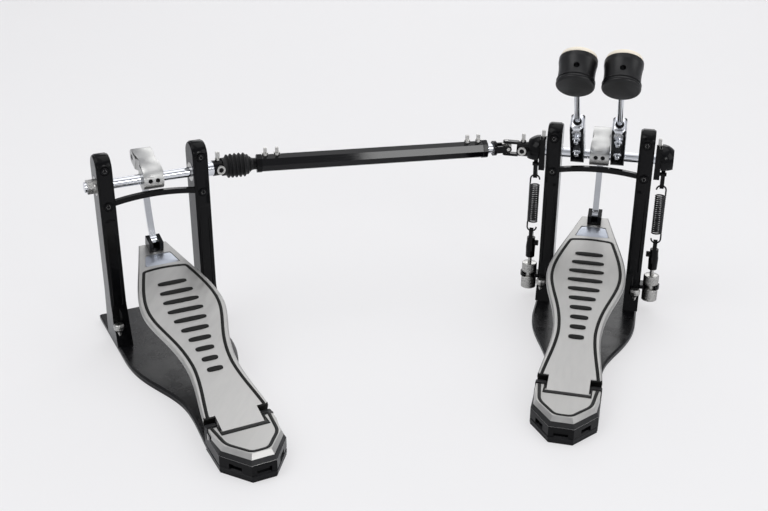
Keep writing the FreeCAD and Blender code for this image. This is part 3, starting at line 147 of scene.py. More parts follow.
def smooth_path(points, start_way, end_way, count):
    """A clamped cubic spline through points, spaced by chord length, with its end directions."""
    p = np.asarray(points, float)
    t = np.concatenate([[0.0], np.cumsum(np.hypot(*np.diff(p, axis=0).T))])
    h = np.diff(t)
    n = len(p)
    a = np.eye(n)
    b = np.zeros((n, 2))
    b[0] = np.asarray(start_way) / np.linalg.norm(start_way)
    b[-1] = np.asarray(end_way) / np.linalg.norm(end_way)
    i = np.arange(1, n - 1)
    a[i, i - 1], a[i, i], a[i, i + 1] = h[1:], 2 * (h[:-1] + h[1:]), h[:-1]
    b[1:-1] = 3 * (h[1:, None] * np.diff(p, axis=0)[:-1] / h[:-1, None]
                   + h[:-1, None] * np.diff(p, axis=0)[1:] / h[1:, None])
    m = np.linalg.solve(a, b)
    u = np.linspace(0, t[-1], count)
    k = np.clip(np.searchsorted(t, u, side="right") - 1, 0, n - 2)
    s = ((u - t[k]) / h[k])[:, None]
    hk = h[k][:, None]
    return ((2 * s ** 3 - 3 * s ** 2 + 1) * p[k] + (s ** 3 - 2 * s ** 2 + s) * hk * m[k]
            + (3 * s ** 2 - 2 * s ** 3) * p[k + 1] + (s ** 3 - s ** 2) * hk * m[k + 1])


def evenly(path, count):
    """The same flat line with points at equal steps along it."""
    run = np.concatenate([[0.0], np.cumsum(np.hypot(*np.diff(path, axis=0).T))])
    at = np.linspace(0, run[-1], count)
    return np.stack([np.interp(at, run, path[:, 0]), np.interp(at, run, path[:, 1])], -1)


def sideways(path):
    """Unit vectors at right angles to a flat line, to the left of its run."""
    way = np.gradient(path, axis=0)
    way /= np.linalg.norm(way, axis=1, keepdims=True)
    return np.stack([-way[:, 1], way[:, 0]], -1)


def at_height(flat, height):
    """Flat points lifted to one height."""
    return np.concatenate([flat, np.full((len(flat), 1), height)], 1)


def band(path, width, low, high):
    """A flat strip along a line: the section is a low rectangle carried along the path."""
    across = sideways(path)
    section = [(-0.5, low), (-0.5, high - 0.1), (-0.46, high), (0.46, high), (0.5, high - 0.1), (0.5, low)]
    rows = []
    for share, height in section:
        rows.append(at_height(path + across * width * share, height))
    return np.stack(rows, 0)


def rounded_box_line(half_x, half_y, power, count):
    """A superellipse: |x / half_x| to the power plus |y / half_y| to the power is 1."""
    angle = np.linspace(0, 2 * pi, count, endpoint=False)
    c, s = np.cos(angle), np.sin(angle)
    x = half_x * np.sign(c) * np.abs(c) ** (2 / power)
    y = half_y * np.sign(s) * np.abs(s) ** (2 / power)
    return np.stack([x, y], -1)


def pad(centre, half_x, half_y, power, levels, count=48):
    """Stacked superellipses, drawn in by an inset at each height, with the last one closed to a point."""
    rows = []
    for inset, height in levels:
        line = rounded_box_line(half_x - inset, half_y - inset, power, count) + np.asarray(centre)
        rows.append(at_height(line, height))
    top = np.array([[*centre, levels[-1][1]]])
    rows.append(np.repeat(top, count, 0))
    return np.stack(rows, 0)


def tube(path, radius, count):
    """A round section, of one radius or one for each point, carried along a line without twist."""
    way = np.gradient(path, axis=0)
    way /= np.linalg.norm(way, axis=1, keepdims=True)
    side = np.zeros_like(path)
    last = np.array([0.0, 0.0, 1.0]) if abs(way[0, 2]) < 0.9 else np.array([1.0, 0.0, 0.0])
    for i, w in enumerate(way):
        last = last - w * last.dot(w)
        last = last / np.linalg.norm(last)
        side[i] = last
    other = np.cross(way, side)
    angle = np.linspace(0, 2 * pi, count, endpoint=False)[None, :, None]
    ring = side[:, None] * np.cos(angle) + other[:, None] * np.sin(angle)
    body = path[:, None] + np.broadcast_to(radius, len(path))[:, None, None] * ring
    ends = [np.repeat(path[:1, None], count, 1), np.repeat(path[-1:, None], count, 1)]
    return np.concatenate([ends[0], body, ends[1]], 0)


def carried(place, grids, closed=True):
    """Grids carried to their place and marked alike as closed or open, for piece."""
    return [(place(grid), closed) for grid in grids]


def piece(name, grids, material, body, replaced=(), sharp=40.0):
    """One mesh from several grids; a grid marked closed joins its last column to its first."""
    points, faces, start = [], [], 0
    for grid, closed in grids:
        rows, columns = grid.shape[:2]
        points.append(grid.reshape(-1, 3))
        index = start + np.arange(rows * columns).reshape(rows, columns)
        after = np.roll(index, -1, 1) if closed else index[:, 1:]
        here = index if closed else index[:, :-1]
        quads = np.stack([here[:-1], here[1:], after[1:], after[:-1]], -1)
        faces.append(quads.reshape(-1, 4))
        start += rows * columns
    mesh = bpy.data.meshes.new(name)
    mesh.from_pydata((np.concatenate(points) * MM).tolist(), [], np.concatenate(faces).tolist())
    work = bmesh.new()
    work.from_mesh(mesh)
    bmesh.ops.remove_doubles(work, verts=work.verts, dist=1e-6)
    bmesh.ops.dissolve_degenerate(work, edges=work.edges, dist=1e-7)
    bmesh.ops.recalc_face_normals(work, faces=work.faces)
    work.to_mesh(mesh)
    work.free()
    mesh.shade_smooth()
    mesh.set_sharp_from_angle(angle=radians(sharp))
    mesh.materials.append(material)
    thing = bpy.data.objects.new(name, mesh)
    bpy.context.scene.collection.objects.link(thing)
    if replaced:
        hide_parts(*replaced)
    if body:
        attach(thing, body)
    return thing


# Materials

def srgb(text):
    """A hex colour such as c8c8c8 as linear red, green, blue and full opacity."""
    c = np.array([int(text[i:i + 2], 16) for i in (0, 2, 4)]) / 255
    linear = np.where(c <= 0.04045, c / 12.92, ((c + 0.055) / 1.055) ** 2.4)
    return (*linear.tolist(), 1.0)


def add(tree, kind, settings=(), values=(), links=()):
    """A node with its settings, its socket values, and links as (its socket, other node, other socket)."""
    node = tree.nodes.new(kind)
    for key, value in dict(settings).items():
        setattr(node, key, value)
    for key, value in dict(values).items():
        node.inputs[key].default_value = value
    for key, other, socket in links:
        tree.links.new(other.outputs[socket], node.inputs[key])
    return node


def finish_of(name, dark, light, metal, rough, rough_spread, spots_mm, stretch=(1, 1, 1), turn=0.0,
              bump=0.0, bump_mm=1.0, shine=()):
    """A finish whose colour and roughness drift over spots, with a finer bump; sizes are in millimetres."""
    made = bpy.data.materials.new(name)
    made.use_nodes = True
    tree = made.node_tree
    shader = tree.nodes["Principled BSDF"]
    place = add(tree, "ShaderNodeTexCoord")
    lie = add(tree, "ShaderNodeMapping", values={"Rotation": (0, 0, -turn), "Scale": stretch},
              links=[("Vector", place, "Object")])
    spots = {"Scale": 1000 / spots_mm, "Detail": 4.0, "Roughness": 0.6}
    drift = add(tree, "ShaderNodeTexNoise", values=spots, links=[("Vector", lie, "Vector")])
    tint = add(tree, "ShaderNodeMix", {"data_type": "RGBA"}, links=[("Factor", drift, "Fac")])
    tint.inputs["A"].default_value = srgb(dark)
    tint.inputs["B"].default_value = srgb(light)
    tree.links.new(tint.outputs["Result"], shader.inputs["Base Color"])
    sheen = add(tree, "ShaderNodeMapRange", values={
        "From Min": 0.3, "From Max": 0.7, "To Min": rough - rough_spread, "To Max": rough + rough_spread,
    }, links=[("Value", drift, "Fac")])
    tree.links.new(sheen.outputs["Result"], shader.inputs["Roughness"])
    if bump:
        grain = add(tree, "ShaderNodeTexNoise", values={"Scale": 1000 / bump_mm, "Detail": 3.0},
                    links=[("Vector", lie, "Vector")])
        relief = add(tree, "ShaderNodeBump", values={"Strength": bump, "Distance": 0.0003},
                     links=[("Height", grain, "Fac")])
        tree.links.new(relief.outputs["Normal"], shader.inputs["Normal"])
    shader.inputs["Metallic"].default_value = metal
    for key, value in dict(shine).items():
        shader.inputs[key].default_value = value
    return made


# Sandblasted and clear-coated aluminium: soft reflections, faint drawing lines along the board.
BRUSH = (1, 0.05, 1)
board_metal = {
    "main": finish_of("satin_aluminium_board", "b0afad", "c2c1be", 1.0, 0.4, 0.05, 6.0, BRUSH,
                      0.0, 0.12, 0.9),
    "second": finish_of("satin_aluminium_board_turned", "b0afad", "c2c1be", 1.0, 0.4, 0.05, 6.0, BRUSH,
                        SECOND_TURN, 0.12, 0.9),
}
# Tumbled die-cast aluminium: a little warmer and finer than the boards.
cam_metal = finish_of("tumbled_aluminium", "b5b5b3", "cacac8", 1.0, 0.42, 0.06, 3.0, bump=0.12, bump_mm=0.6)
# Satin plate in the toe recess: cooler than the board round it.
buffed = finish_of("satin_blue_grey_plate", "aeb3bd", "c0c5ce", 1.0, 0.36, 0.04, 8.0, bump=0.05, bump_mm=0.8)
# Bright chromium plate on steel: near mirror, with faint waviness.
chrome = finish_of("bright_chrome", "c9cbd0", "dcdee2", 1.0, 0.09, 0.03, 14.0, bump=0.03, bump_mm=5.0)
# The same plate over a tumbled casting, so softer.
soft_chrome = finish_of("satin_chrome", "d4d6dc", "e4e6ea", 1.0, 0.25, 0.05, 6.0, bump=0.05, bump_mm=1.5)
# Zinc plated steel screws: greyer, with small dull patches.
zinc = finish_of("zinc_plated_steel", "a5a4a1", "c9c8c5", 1.0, 0.3, 0.08, 2.5, bump=0.15, bump_mm=0.8)
# Black powder coat, glossy, with the slight orange peel that it dries with.
coat = finish_of("gloss_black_powder_coat", "060607", "0b0b0d", 0.0, 0.15, 0.05, 9.0, bump=0.05, bump_mm=2.2,
                 shine={"Specular IOR Level": 0.14})
# Lacquered tube: the same black, rubbed flat, so its facets mirror the lights.
lacquer = finish_of("black_tube_lacquer", "040406", "07070a", 0.0, 0.08, 0.02, 30.0, bump=0.02, bump_mm=6.0,
                    shine={"Specular IOR Level": 0.26})
# Satin black plate: the coat sprayed thinner, so broader highlights.
plate_coat = finish_of("satin_black_plate", "0c0c0d", "141416", 0.0, 0.25, 0.06, 16.0, bump=0.08, bump_mm=1.4,
                       shine={"Specular IOR Level": 0.19})
# Natural rubber, moulded: dull, with a dusty bloom.
rubber = finish_of("moulded_black_rubber", "0c0c0d", "151516", 0.0, 0.55, 0.08, 7.0, bump=0.25, bump_mm=0.9,
                   shine={"Specular IOR Level": 0.35})
# Dark grey matt finish round the heel: on the heel plate's lower slope it is painted shade and dark
# reflection, and it also covers the rubber blocks on the hinge ears.
shade_skirt_and_ear_rubber = finish_of("heel_shade_skirt_and_ear_rubber", "161617", "222223", 0.0, 0.5, 0.06, 5.0, bump=0.2, bump_mm=0.7,
                     shine={"Specular IOR Level": 0.3})
# Oil-blackened spring wire.
spring_black = finish_of("blackened_spring_wire", "0a0a0c", "19191c", 0.35, 0.3, 0.06, 3.0)
# Turned black nylon of the heads: fine lathe marks, low sheen.
head_black = finish_of("turned_black_nylon", "09090a", "101011", 0.0, 0.36, 0.05, 7.0, bump=0.1, bump_mm=0.7,
                       shine={"Specular IOR Level": 0.35})
# Pressed wool felt: cream, fibrous and soft at grazing light.
felt = finish_of("pressed_wool_felt", "efe3cd", "fbf4e6", 0.0, 0.93, 0.04, 1.6, bump=0.9, bump_mm=0.6,
                 shine={"Sheen Weight": 0.4, "Sheen Roughness": 0.5})
# Screen-printed enamel of the stripes and moulded grips.
enamel = finish_of("black_stripe_enamel", "0b0b0a", "141412", 0.0, 0.38, 0.06, 5.0, bump=0.08, bump_mm=0.8,
                   shine={"Specular IOR Level": 0.16})

FINISH_BY_SLOT = {
    "black_coat": coat, "base_coat": plate_coat, "soft_black": rubber, "bright_metal": chrome,
    "screw_metal": zinc, "spring_coat": spring_black, "head_plastic": head_black, "felt": felt,
}
slot_of = {row["node"]: row["material_slot"] for row in frame["record"]["subparts"]}
for name, node in nodes.items():
    if name.endswith(("_footboard", "_heel_plate")):
        chosen = board_metal[name.split("_")[0]]
    elif name.endswith("_cam"):
        chosen = cam_metal
    elif name == "link_tube":
        chosen = lacquer
    else:
        chosen = FINISH_BY_SLOT[slot_of[name]]
    node.data.materials.clear()
    node.data.materials.append(chosen)

# Footboards: stripe along the rim, grip bars, toe plate, and the heel plate's stripe

RIM_IN = 6.6
RIM_AT_HEEL = 4.4
RIM_EVEN_FROM = 80.0
STRIPE_W = 3.6
STRIPE_T = 0.25
STRIPE_TOP = 250.0
STRIPE_ARCH = 2.6
HEEL_TOP = 29.0
HEEL_SLOPE_LOW = 19.0
HEEL_SLOPE_RISE = 10.0
HINGE_LINE_T = 0.2
GRIP_HALF_DEEP = 3.4
GRIP_COUNT = 10


def board_edge():
    """The board's +X edge from toe to heel, as the solid has it: (across, along)."""
    points = [(16.5, BOARD_LENGTH), (31.74, BOARD_LENGTH * 0.83), (46.0, BOARD_LENGTH * 0.575),
              (32.94, BOARD_LENGTH * 0.4), (27.0, BOARD_LENGTH * 0.25), (34.5, 7.0)]
    return smooth_path(points, (0.3, -1), (0.1, -1), 300)


def rim_line():
    """Half of the stripe: the edge drawn in by RIM_IN, less at the heel, up to the crossing at the toe."""
    edge = board_edge()
    rim = np.interp(edge[:, 1:], (7.0, RIM_EVEN_FROM), (RIM_AT_HEEL, RIM_IN))
    inner = edge - sideways(edge) * rim
    inner = inner[inner[:, 1] < STRIPE_TOP]
    return inner[::-1]


def stripe_line():
    """The whole stripe: both rims and a shallow arch across the toe, its corners eased by a mean of five."""
    right = rim_line()
    corner_x, corner_s = right[-1]
    x = np.linspace(corner_x, -corner_x, 60)
    top = np.stack([x, corner_s + STRIPE_ARCH * (1 - (x / corner_x) ** 2)], -1)
    left = right[::-1] * np.array([-1, 1])
    whole = evenly(np.concatenate([right, top[1:-1], left]), 420)
    soft = whole.copy()
    soft[2:-2] = (whole[:-4] + whole[1:-3] + whole[2:-2] + whole[3:-1] + whole[4:]) / 5
    return soft


def heel_line():
    """The heel plate's stripe: from ear to ear, drawn in from the plate's six-sided edge."""
    half = [(30.4, -272.6), (26.9, -304.6), (9.0, -327.6)]
    other = [(-x, y) for x, y in half[::-1]]
    return evenly(rounded_profile(half + [(0.0, -328.2)] + other, 7.0, 12), 180)


def hinge_lines():
    """The dark line of the hinge on the heel plate: along both arms and, wider, across behind the tongue."""
    arms = [np.array([(side * 24.75, -272.3), (side * 24.75, -284.0)]) for side in SIDES]
    across = np.array([(25.5, -286.0), (-25.5, -286.0)])
    lines = [(arm, 1.6) for arm in arms] + [(across, 5.9)]
    return [band(line, width, HEEL_TOP - SINK, HEEL_TOP + HINGE_LINE_T) for line, width in lines]


def ear_cover(side):
    """A rubber block on a hinge ear: it fills the corner between the heel plate's arm and the board."""
    return pad((side * 29.5, -267.4), 5.6, 4.8, 8.0, [(0.0, 16.0), (0.0, 28.3), (0.3, 28.7), (0.9, 28.9)])


def board_bumper(side):
    """A rubber lip on the board's rear edge beside the tongue, chamfer and all, in the board's own frame."""
    line = np.array([(8.75, 0.06), (6.85, -1.5), (6.85, -9.2), (7.5, -9.8), (8.4, -9.2), (8.4, -5.0)])
    middle = np.array([7.7, -5.0])
    rows = []
    for x, share in [(22.1, 0.0), (22.1, 1.0), (34.1, 1.0), (34.1, 0.0)]:
        rows.append([(side * x, *(middle + share * (point - middle))) for point in line])
    return np.array(rows)


def heel_shade_skirt():
    """Painted shade: a dark skin on the lower half of the heel plate's sloping sides, standing in for the
    shade and dark reflection on that metal; rings of its six-sided outline.

    At height z the share of the slope is (z - HEEL_SLOPE_LOW) / HEEL_SLOPE_RISE. Each side is cut into ten,
    so that the rings lie on the slope all along.
    """
    rows = []
    for z, out in [(19.2, 0.12), (20.3, 0.12), (21.4, 0.12), (22.5, 0.12), (23.6, 0.12), (23.8, 0.0)]:
        share = (z - HEEL_SLOPE_LOW) / HEEL_SLOPE_RISE
        half = [(35.0 - share + out, -283.0), (35.0 - 5.5 * share + out, -306.0),
                (13.0 - 3.0 * share + 0.5 * out, -337.0 + 6.0 * share - out)]
        corners = np.array(half + [(-x, y) for x, y in half[::-1]])
        steps = np.linspace(0.0, len(corners) - 1.0, 10 * (len(corners) - 1) + 1)
        line = np.stack([np.interp(steps, np.arange(len(corners)), corners[:, k]) for k in (0, 1)], -1)
        rows.append(at_height(line, z))
    return np.stack(rows, 0)


def half_width(along):
    """Half the board's width at a place along it."""
    edge = board_edge()[::-1]
    return np.interp(along, edge[:, 1], edge[:, 0])


def grip_bars():
    """A column of rounded bars, each as wide as the board allows at its place."""
    bars = []
    for along in np.linspace(72.0, 222.0, GRIP_COUNT):
        half = 0.62 * (half_width(along) - 13.0)
        levels = [(0.0, -0.1), (0.0, 0.5), (0.15, 0.75), (0.5, 0.9), (1.2, 1.0)]
        bars.append(pad((0.0, along), half, GRIP_HALF_DEEP, 3.2, levels))
    return bars


def toe_plate():
    """A smooth plate that fills the toe recess: a rounded square stretched to a trapezium."""
    rows = []
    for inset, height in [(0.3, -1.15), (0.3, -0.55), (0.7, -0.4)]:
        line = rounded_box_line(1.0, 1.0, 7.0, 64)
        half = 18.0 - 3.0 * line[:, 1] - inset
        along = 268.5 + line[:, 1] * (10.5 - inset)
        rows.append(np.stack([line[:, 0] * half, along, np.full(64, height)], -1))
    rows.append(np.tile(np.array([0.0, 268.5, -0.4]), (64, 1)))
    return np.stack(rows, 0)


def heel_ribs():
    """A ribbed rubber edge round the heel: the rim line pushed in and out along it."""
    half = [(34.0, -262.0), (34.0, -306.0), (12.0, -336.0)]
    line = evenly(np.array(half + [(-x, y) for x, y in half[::-1]]), 700)
    run = np.linspace(0, 1, len(line)) * 60 * 2 * pi
    out = -sideways(line) * (0.45 + 0.45 * np.tanh(2.5 * np.sin(run)))[:, None]
    rows = []
    for push, height in [(-0.6, 0.05), (0.0, 0.05), (1.0, 0.5), (1.0, 1.9), (-0.6, 1.95)]:
        flat = line + (out if push > 0 else -sideways(line) * push)
        rows.append(at_height(flat, height))
    return np.stack(rows, 0)


def along_profile(path, section):
    """A rib along a line in the YZ plane: section holds (x, height over the line); the ends run out flat."""
    out = sideways(path)
    fall = np.ones((len(path), 1))
    fall[[0, -1]] = -0.05
    rows = []
    for x, lift in section:
        flat = path + out * lift * fall
        rows.append(np.concatenate([np.full((len(path), 1), x), flat], 1))
    return np.stack(rows, 0)


def post_ribs():
    """A raised spine over each post's head, and two slim ribs down its front and back faces."""
    arc = np.linspace(radians(176.0), radians(4.0), 40)
    crown = np.stack([15.036 * np.cos(arc), 220.964 + 15.036 * np.sin(arc)], -1)
    front = np.stack([np.full(30, -POST_FACE), np.linspace(160.0, 221.0, 30)], -1)
    path = np.concatenate([front, crown, front[::-1] * np.array([-1, 1])])
    spine = [(-6.9, -0.05), (-6.6, 0.55), (-5.9, 0.85), (5.9, 0.85), (6.6, 0.55), (6.9, -0.05)]
    slim = [(-1.3, -0.05), (-0.9, 0.6), (0.0, 0.8), (0.9, 0.6), (1.3, -0.05)]
    low = np.stack([np.full(20, -POST_FACE), np.linspace(56.0, 154.0, 20)], -1)
    grids = []
    for post_x in (-POST_X, POST_X):
        grids.append(along_profile(path, spine) + np.array([post_x, 0.0, 0.0]))
        for x in (-5.4, 5.4):
            for face in (1.0, -1.0):
                rib = along_profile(low, slim) * np.array([1, face, 1])
                grids.append(rib + np.array([post_x, 0.0, 0.0]) + np.array([x, 0, 0]))
    return grids


def post_screw_rings():
    """A raised ring round each post screw, turned about Y."""
    line = rounded_profile([(-15.7, 6.3), (-16.4, 6.1), (-16.5, 5.3), (-16.0, 4.9), (-15.7, 4.6)], 0.4)
    ring = turned(line, 40, 1)
    return [ring + np.array([x, 0, z]) for x in (-POST_X, POST_X) for z in POST_SCREWS_Z]


def post_screw_caps():
    """Dark cap screws on the posts: a rounded rim, a face and a six-sided socket."""
    line = rounded_profile([(-15.05, 4.3), (-17.9, 4.3), (-17.9, 2.6), (-17.7, 2.5), (-17.7, 2.2)], 0.5)
    rim = turned(line, 32, 1)
    socket = turned([(-17.7, 2.2), (-17.55, 2.1), (-17.55, 0.0)], 6, 1)
    places = [np.array([x, 0, z]) for x in (-POST_X, POST_X) for z in POST_SCREWS_Z]
    return [grid + place for place in places for grid in (rim, socket)]


def spur_caps():
    """Mushroom heads of the floor spurs, fluted round the rim."""
    angle = np.linspace(0, 2 * pi, 72, endpoint=False)
    grids = []
    for x in (-SPUR_X, SPUR_X):
        profile = rounded_profile([(20.0, 3.1), (26.0, 3.2), (29.2, 6.05), (33.2, 6.4), (35.2, 5.2),
                                   (35.8, CLOSED)], 1.6)
        cap = turned(profile, 72, 2)
        flute = 1 - 0.02 * (0.5 + 0.5 * np.cos(12 * angle)) * (np.abs(profile[:, :1] - 31.5) < 1.8)
        cap[..., :2] *= flute[..., None]
        grids.append(cap + np.array([x, SPUR_Y, 0.0]))
    return grids


for pedal, place in (("main", on_main), ("second", on_second)):
    board = pedal + "_footboard"
    base = pedal + "_frame"
    stripe = band(stripe_line(), STRIPE_W, -SINK, STRIPE_T)
    dark = [on_board(grid) for grid in [stripe] + [board_bumper(side) for side in SIDES]]
    piece(pedal + "_board_stripe", carried(place, dark, False), enamel, board)
    bars = [on_board(grid) for grid in grip_bars()]
    piece(pedal + "_grip_bars", carried(place, bars), enamel, board)
    piece(pedal + "_toe_plate", carried(place, [on_board(toe_plate())]), buffed, board)
    ring = band(heel_line(), STRIPE_W, HEEL_TOP - SINK, HEEL_TOP + STRIPE_T)
    piece(pedal + "_heel_stripe", carried(place, [ring] + hinge_lines(), False), enamel, base)
    # painted shade: the skirt darkens the heel plate's lower slope; the ear blocks fill the corners by the
    # hinge
    skins = carried(place, [heel_shade_skirt()], False) + carried(place, [ear_cover(side) for side in SIDES])
    piece(pedal + "_heel_shade_skirt", skins, shade_skirt_and_ear_rubber, base)
    piece(pedal + "_heel_ribs", carried(place, [heel_ribs()], False), rubber, base)
    piece(pedal + "_post_screw_caps", carried(place, post_screw_caps()), coat, base)
    ribs = carried(place, post_ribs(), False) + carried(place, post_screw_rings())
    piece(pedal + "_post_ribs", ribs, coat, base)
    piece(pedal + "_spur_caps", carried(place, spur_caps()), zinc, base)

# Beaters: felt pads, beads on the heads, and the cheeks, keys and crowns of the holders

HEAD_AT = 182.0
HEAD_FRONT = 17.3


def felt_pad():
    """A pressed disc: flat back, bulging rim and a gently crowned face, turned about +Y."""
    corners = [(0.02, CLOSED), (0.02, 19.4), (2.8, 19.9), (5.8, 19.0), (6.6, 11.0), (6.8, CLOSED)]
    line = rounded_profile([(HEAD_FRONT + along, radius) for along, radius in corners], 2.2)
    return turned(line, 96, 1) + np.array([0.0, 0.0, HEAD_AT])


def head_beads():
    """Two fine beads round the head before its rear edge, turned about +Y."""
    grids = []
    for y in (-13.0, -9.6):
        line = rounded_profile([(y - 0.8, 20.1), (y - 0.5, 20.8), (y + 0.5, 20.8), (y + 0.8, 20.1)], 0.5)
        grids.append(turned(line, 96, 1) + np.array([0.0, 0.0, HEAD_AT]))
    return grids


def holder_crown():
    """A chromed cap over the holder's top: stacked superellipses that close on the rod's collar."""
    rows = []
    for half_x, half_y, z in [(8.05, 11.05, 62.6), (8.3, 11.3, 63.0), (8.35, 11.35, 70.0), (8.3, 11.3, 74.4),
                              (7.8, 10.8, 76.6), (6.9, 9.8, 78.4), (6.0, 8.0, 79.3), (5.1, 5.1, 79.5)]:
        power = 2.0 if half_x == half_y else 4.5
        rows.append(at_height(rounded_box_line(half_x, half_y, power, 72), z))
    return np.stack(rows, 0)


def cheek(side):
    """A thin rounded plate on one side of the holder."""
    levels = [(0.0, 7.95), (0.0, 8.15), (0.3, 8.35)]
    grid = pad((0.0, 40.0), 7.6, 23.0, 5.0, levels, 64)
    return np.stack([side * grid[..., 2], grid[..., 0], grid[..., 1]], -1)


def holder_key(rise):
    """A square key head with softened corners on a round collar, standing out of the holder's face."""
    levels = [(0.0, 13.4), (0.0, 17.4), (0.3, 17.8), (0.9, 18.0)]
    grid = pad((0.0, rise), 2.6, 2.6, 6.0, levels, 40)
    head = np.stack([grid[..., 0], -grid[..., 2], grid[..., 1]], -1)
    line = rounded_profile([(-11.05, 4.7), (-13.4, 4.7), (-14.0, 4.2), (-14.0, 2.0)], 0.5)
    return [head, turned(line, 40, 1) + np.array([0.0, 0.0, rise])]


for hand, x in BEATERS.items():
    shift = np.array([x, 0.0, 0.0])
    axle = "main_axle" if hand == "right" else "left_axle"
    beater = hand + "_beater"
    pads = carried(leaned, [felt_pad() + shift])
    soft = piece(hand + "_felt_pad", pads, felt, beater, [hand + "_beater_felt"])
    beads = [grid + shift for grid in head_beads()]
    piece(hand + "_head_beads", carried(leaned, beads), coat, beater)
    dress = [cheek(side) for side in (-1, 1)] + holder_key(28.0) + holder_key(59.0)
    dress = [grid + shift for grid in dress]
    piece(hand + "_holder_dress", carried(leaned, dress), chrome, axle)
    crown = [holder_crown() + shift]
    piece(hand + "_holder_crown", carried(leaned, crown), soft_chrome, axle)


# Cams: the bright hood over the forked arm

CAM_RISE = radians(22.5)
CAM_EYE_OUT = 40.0


def polar(radius, angle):
    """A point of a flat drawing by its distance and its angle."""
    return radius * np.array([cos(angle), sin(angle)])


def cam_hood():
    """A strip over the clamp ring, along the arm's top and round the eye; its sides follow the arm's neck.

    With d the way along the arm from its neck, the half width is 11.5 - 1.9 exp(-(d / 9) ** 2).
    """
    start, end = radians(160.0), radians(15.0)
    eye = polar(CAM_EYE_OUT, CAM_RISE)
    over_ring = [polar(13.1, start), polar(13.4, radians(136.0))]
    over_arm = [polar(20.0, CAM_RISE) + polar(12.6, CAM_RISE + pi / 2)]
    round_eye = [eye + polar(8.7, radians(104.0)), eye + polar(8.4, radians(60.0)), eye + polar(8.1, end)]
    points = over_ring + over_arm + round_eye
    line = evenly(smooth_path(points, (sin(start), -cos(start)), (sin(end), -cos(end)), 300), 80)
    out = sideways(line)
    d = line @ polar(1.0, CAM_RISE) - 19.0
    half = 11.5 - 1.9 * np.exp(-(d / 9.0) ** 2)
    rows = []
    for side, inset, lift in [(-1, 0.0, 0.0), (-1, 0.0, 0.6), (-1, 0.5, 1.0),
                              (1, 0.5, 1.0), (1, 0.0, 0.6), (1, 0.0, 0.0)]:
        flat = line + out * lift
        rows.append(np.stack([side * (half - inset), flat[:, 0], flat[:, 1] + AXLE_Z], -1))
    return np.stack(rows, 0)


def cam_shade_discs_and_pin_rings():
    """Painted shade: black discs deep in the two holes at the clamp's front, standing in for the shade inside
    the holes, and a ring on each end of the pin.
    """
    # painted shade: these discs are dark only to show the holes shaded inside
    disc = turned([(-10.3, 2.5), (-10.3, CLOSED)], 24, 1)
    shade_discs = [disc + np.array([x, 0.0, AXLE_Z]) for x in (-4.2, 4.2)]
    eye = np.array([0.0, CAM_EYE_OUT * cos(CAM_RISE), AXLE_Z + CAM_EYE_OUT * sin(CAM_RISE)])
    pin = turned([(11.45, 3.6), (11.75, 3.4), (11.75, 2.6), (11.6, 2.4), (11.6, CLOSED)], 32, 0)
    return shade_discs + [pin * np.array([side, 1.0, 1.0]) + eye for side in SIDES]


for pedal, place in (("main", on_main), ("second", on_second)):
    axle = pedal + "_axle"
    piece(pedal + "_cam_hood", carried(place, [cam_hood()], False), cam_metal, axle)
    # painted shade in the clamp holes, with real rings on the pin ends
    piece(pedal + "_cam_shade_discs_and_pin_rings", carried(place, cam_shade_discs_and_pin_rings()), coat, axle)

# Springs, tension nuts and the boot

WIRE_R = 1.0
COIL_R = 5.7
COIL_TURNS = 20
COIL_PITCH = 2.55
COIL_LOW = 104.2
HOOK_BEND = 2.6
HOOK_NECK = 3.0
NUT_R = 9.6
BOOT_ON_HUB = 17.0
BOOT_ON_LINK = 21.0
BOOT_RIB_PITCH = 5.0


def quarter(start, corner, end, count):
    """A quadratic bend from start towards corner and on to end."""
    t = np.linspace(0, 1, count)[:, None]
    return (1 - t) ** 2 * start + 2 * t * (1 - t) * corner + t ** 2 * end


def spring_line():
    """A helix of COIL_TURNS turns; each end bends up or down, runs a short neck and loops over the axis."""
    angle = np.linspace(0, 2 * pi * COIL_TURNS, 30 * COIL_TURNS + 1)
    rise = COIL_LOW + COIL_PITCH * angle / (2 * pi)
    coil = np.stack([COIL_R * np.cos(angle), COIL_R * np.sin(angle), rise], -1)
    ends = []
    for point, up in ((coil[-1], 1.0), (coil[0], -1.0)):
        corner = point + np.array([0.0, up * HOOK_BEND, 0.0])
        bent = corner + np.array([0.0, 0.0, up * HOOK_BEND])
        neck = bent + np.array([0.0, 0.0, up * HOOK_NECK])
        swing = np.linspace(0, pi, 20)
        reach = neck[2] + up * COIL_R * np.sin(swing)
        loop = np.stack([COIL_R * np.cos(swing), np.full(20, neck[1]), reach], -1)
        ends.append(np.concatenate([quarter(point, corner, bent, 8)[1:], neck[None], loop[1:]]))
    return np.concatenate([ends[1][::-1], coil, ends[0]])


def knurl_ring(low, high, radius):
    """A turned disc whose side carries crossed ridges: the radius falls by two crossing waves."""
    heights = np.linspace(low + 0.8, high - 0.8, 34)
    angle = np.linspace(0, 2 * pi, 144, endpoint=False)
    climb = heights[:, None] / 1.6 * pi
    waves = np.minimum(np.abs(np.sin(18 * angle + climb)), np.abs(np.sin(18 * angle - climb)))
    side = radius - 0.45 * waves
    rows = np.stack([side * np.cos(angle), side * np.sin(angle), np.repeat(heights[:, None], 144, 1)], -1)
    foot = turned([(low, 2.7), (low, radius - 1.0), (low + 0.4, radius - 0.4)], 144, 2)
    head = turned([(high - 0.4, radius - 0.4), (high, radius - 1.0), (high, 2.7)], 144, 2)
    return np.concatenate([foot, rows, head], 0)


def tension_nut():
    """Two knurled rings with a plain neck between them."""
    neck = turned([(30.2, 6.0), (35.9, 6.0)], 48, 2)
    return [knurl_ring(14.0, 30.3, NUT_R), neck, knurl_ring(35.85, 48.0, NUT_R)]


